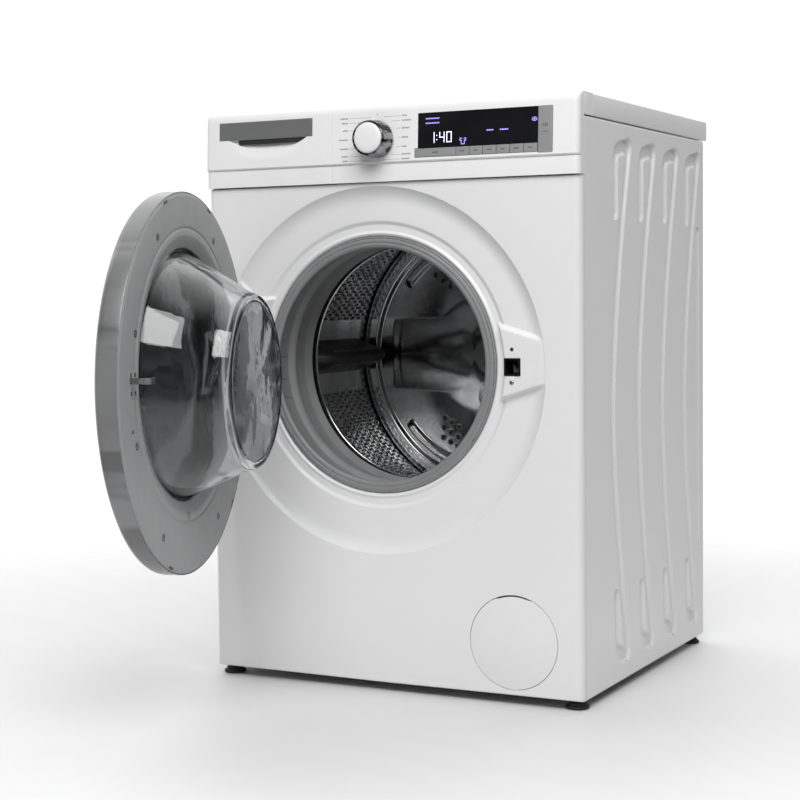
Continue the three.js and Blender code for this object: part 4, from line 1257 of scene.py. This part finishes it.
def door_fittings():
    screws, well_painted_shades = [], []
    for across, up in ((110, 195), (-110, 195), (110, -195), (-110, -195), (195, 73), (197, -68)):
        x, z = on_ring(across, up)
        screws.append(screw(x, z, deep(0.9), 2.8, facing=1))
        # painted shade: a dark ring round each screw stands for the shade in its shallow well
        well = into_door([(2.6, 0.3), (2.8, -0.1), (5.0, -0.12), (5.4, 0.2)])
        well_painted_shades.append(turned(well, x, z, 32))
    piece("door_screws", screws, steel, "door")
    piece("door_screw_well_painted_shades", well_painted_shades, dark, "door")
    clips = []
    for across, up in ((79, 241), (-93, 236), (84, -239), (-175, -184)):
        x, z = on_ring(across, up)
        lean = atan2(up, across) + pi / 2
        c, s = cos(lean), sin(lean)
        outline = [(x + a * c - b * s, z + a * s + b * c)
                   for a, b in rounded(rectangle((-7, 7), (-1.6, 1.6)), 1.0, 3)]
        clips.append(slab(outline, deep(1), deep(-0.25), 0.2))
    for place in ((200, 22), (214, 22), (200, -1), (214, -1)):
        clips.append(plate(*round_about(*on_ring(*place), 2.6), deep(1), deep(-0.56), 0.6, 0.1))
    button = into_door([(0, -0.3), (2.4, -0.3), (2.6, 0.5), (0, 0.5)])
    clips.append(spun(button, *on_ring(210, -49), 24))
    piece("door_clips", clips, dark, "door")
    guard = plate(*round_about(*on_ring(207, 10.5), (12, 17)), deep(0.6), deep(-0.5), 3, 0.4)
    piece("hook_plate", guard, ring_grey, "door")
    x, z = on_ring(12, -167 - BOWL_RISE)
    ribs = [plate((left, left + 1.4), (z - 5, z + 5), deep(0.5), deep(-0.5), 0.5, 0.2)
            for left in (x - 5, x - 1, x + 3)]
    piece("door_ribs", ribs, ring_grey, "door")


def bowl_lean(distance, y):
    """The bowl's end is nearer the middle of the door than its rim is."""
    share = np.clip((y - deep(10)) / 107, 0, 1)
    return BOWL_RISE - 9.5 * share


def bowl():
    """Pressed glass: true outside, a little uneven inside, so it bends what is seen through it."""
    outside = [(0.01, 97), (106, 97), (117.5, 96), (120.5, 86), (124, 76), (133, 60), (147, 35),
               (159, 9), (165, -4), (168.5, -10.4), (184, -10.4)]
    inside = [(184, -14.8), (164, -14.8), (160, -4), (154, 8), (142, 33), (127, 60), (118, 74),
              (113.5, 86), (108, 91.6), (0.01, 92.2)]
    line = curve([(reach, DOOR_FACE + height) for reach, height in outside + inside], 7, 6)
    points, faces = spun(line, AXIS_X, DOOR_Z, 200)
    reach, around = polar(points, AXIS_X, DOOR_Z)
    row = np.arange(len(points)) // 200
    inner = (row > len(line) / 2) & (reach < 162)
    height = points[:, 1] - DOOR_FACE
    wave = np.sin(3 * around + height / 17) + 0.6 * np.sin(7 * around - height / 11 + 1)
    push_out(points, around, 0.55 * wave * inner * ramp(reach, 106, 118))
    ripple = np.sin(points[:, 0] / 17) * np.cos(points[:, 2] / 23 + points[:, 0] / 40)
    points[:, 1] += 0.6 * inner * ripple * ramp(height, 86, 91)
    piece("door_bowl", risen((points, faces), bowl_lean), clear, "door", 60, "door_glass")


def cover():
    line = curve(into_door([(0.01, 28), (186, 26.4), (202.2, 28), (202.4, 31.6), (186, 34),
                            (90, 36.5), (0.01, 37.5)]), 3, 4)
    disc = risen(spun(line, AXIS_X, DOOR_Z, 200), lambda distance, y: BOWL_RISE)
    piece("door_cover_disc", disc, smoked, "door", 40, "door_cover")


door_rings()
door_fittings()
bowl()
cover()

# ---- CAD nodes that stay


def dress_nodes():
    for part in frame["record"]["subparts"]:
        node = nodes[part["node"]]
        if node.hide_render:
            continue
        node.data.materials.clear()
        node.data.materials.append(FINISH_OF[part["material_slot"]])
        weld = node.modifiers.new("weld", "WELD")
        weld.merge_threshold = 1e-6
        soften = node.modifiers.new("soften", "BEVEL")
        soften.width = 0.5 * MM
        soften.segments = 2
        soften.limit_method = "ANGLE"
        soften.angle_limit = radians(35)
        soften.harden_normals = True


dress_nodes()

# ---- floor, light and camera


def floor():
    """A pale floor that fades into the white room round the machine."""
    size, near, far = 3.0, 0.5, 2.0
    along = np.linspace(-size, size, 9)
    points, faces = grid([[(x, y, -0.0005) for y in along] for x in along])
    mesh = bpy.data.meshes.new("floor")
    mesh.from_pydata(points.tolist(), [], faces)
    made = placed("floor", mesh)
    pale = material("pale_floor", "floor", (0.72, 0.72, 0.725), (0.5, 0.6), 300, 0.01, 4, 0.02)
    tree = pale.node_tree
    place = wired(tree, "ShaderNodeTexCoord", "Object", {})
    reach = wired(tree, "ShaderNodeVectorMath", "Value", {0: place}, "LENGTH")
    fade = ranged(tree, reach, near, far, 1.0, 0.0)
    tree.links.new(fade, tree.nodes["Principled BSDF"].inputs["Alpha"])
    mesh.materials.append(pale)


def area_light(name, at, towards, size, power):
    data = bpy.data.lights.new(name, "AREA")
    data.shape = "RECTANGLE"
    data.size, data.size_y = size
    data.energy = power
    made = placed(name, data)
    made.location = at
    made.rotation_euler = (Vector(towards) - Vector(at)).to_track_quat("-Z", "Y").to_euler()


def studio():
    """A white room with a bright horizon, brightest overhead and behind, and dim on the right."""
    world = bpy.data.worlds.new("studio")
    world.use_nodes = True
    tree = world.node_tree
    backdrop = tree.nodes["Background"]
    backdrop.inputs["Color"].default_value = (1, 1, 1, 1)
    direction = wired(tree, "ShaderNodeTexCoord", "Generated", {})
    across, behind, up = (wired(tree, "ShaderNodeSeparateXYZ", axis, {"Vector": direction})
                          for axis in "XYZ")
    steepness = wired(tree, "ShaderNodeMath", "Value", {0: up}, "ABSOLUTE")
    # on the right and in front, only a band round the horizon is bright
    beside = ranged(tree, steepness, 0.2, 0.45, 0.32, 0.08)
    before = ranged(tree, steepness, 0.2, 0.45, 0.46, 0.08)
    strength = ranged(tree, across, -0.05, 0.6, 1.0, beside)
    # brighter behind and overhead, dim straight down
    for share in (ranged(tree, behind, -0.3, 0.1, before, 1.1),
                  ranged(tree, up, 0.25, 0.8, 1.0, 1.7),
                  ranged(tree, up, -0.75, -0.36, 0.2, 1.0)):
        strength = wired(tree, "ShaderNodeMath", "Value", {0: strength, 1: share}, "MULTIPLY")
    tree.links.new(strength, backdrop.inputs["Strength"])
    bpy.context.scene.world = world
    area_light("key", (0.9, -1.8, 2.5), (0, 0, 0.5), (2.2, 1.6), 78)
    bpy.context.scene.view_settings.view_transform = "Standard"


def camera():
    data = bpy.data.cameras.new("camera")
    data.lens = 78.906
    data.sensor_width = 36
    data.clip_end = 50
    made = placed("camera", data)
    yaw, pitch, roll = (radians(a) for a in (27.405, 3.658, -0.637))
    forward = Vector((-sin(yaw) * cos(pitch), cos(yaw) * cos(pitch), -sin(pitch)))
    right = forward.cross(Vector((0, 0, 1))).normalized()
    up = right.cross(forward)
    right, up = (right * cos(roll) + up * sin(roll), up * cos(roll) - right * sin(roll))
    turn = made.matrix_world.to_3x3()
    for row in range(3):
        turn[row][0], turn[row][1], turn[row][2] = right[row], up[row], -forward[row]
    made.rotation_euler = turn.to_euler()
    made.location = (1.176167, -2.227103 + FRONT, 0.586367)
    bpy.context.scene.camera = made


floor()
studio()
camera()
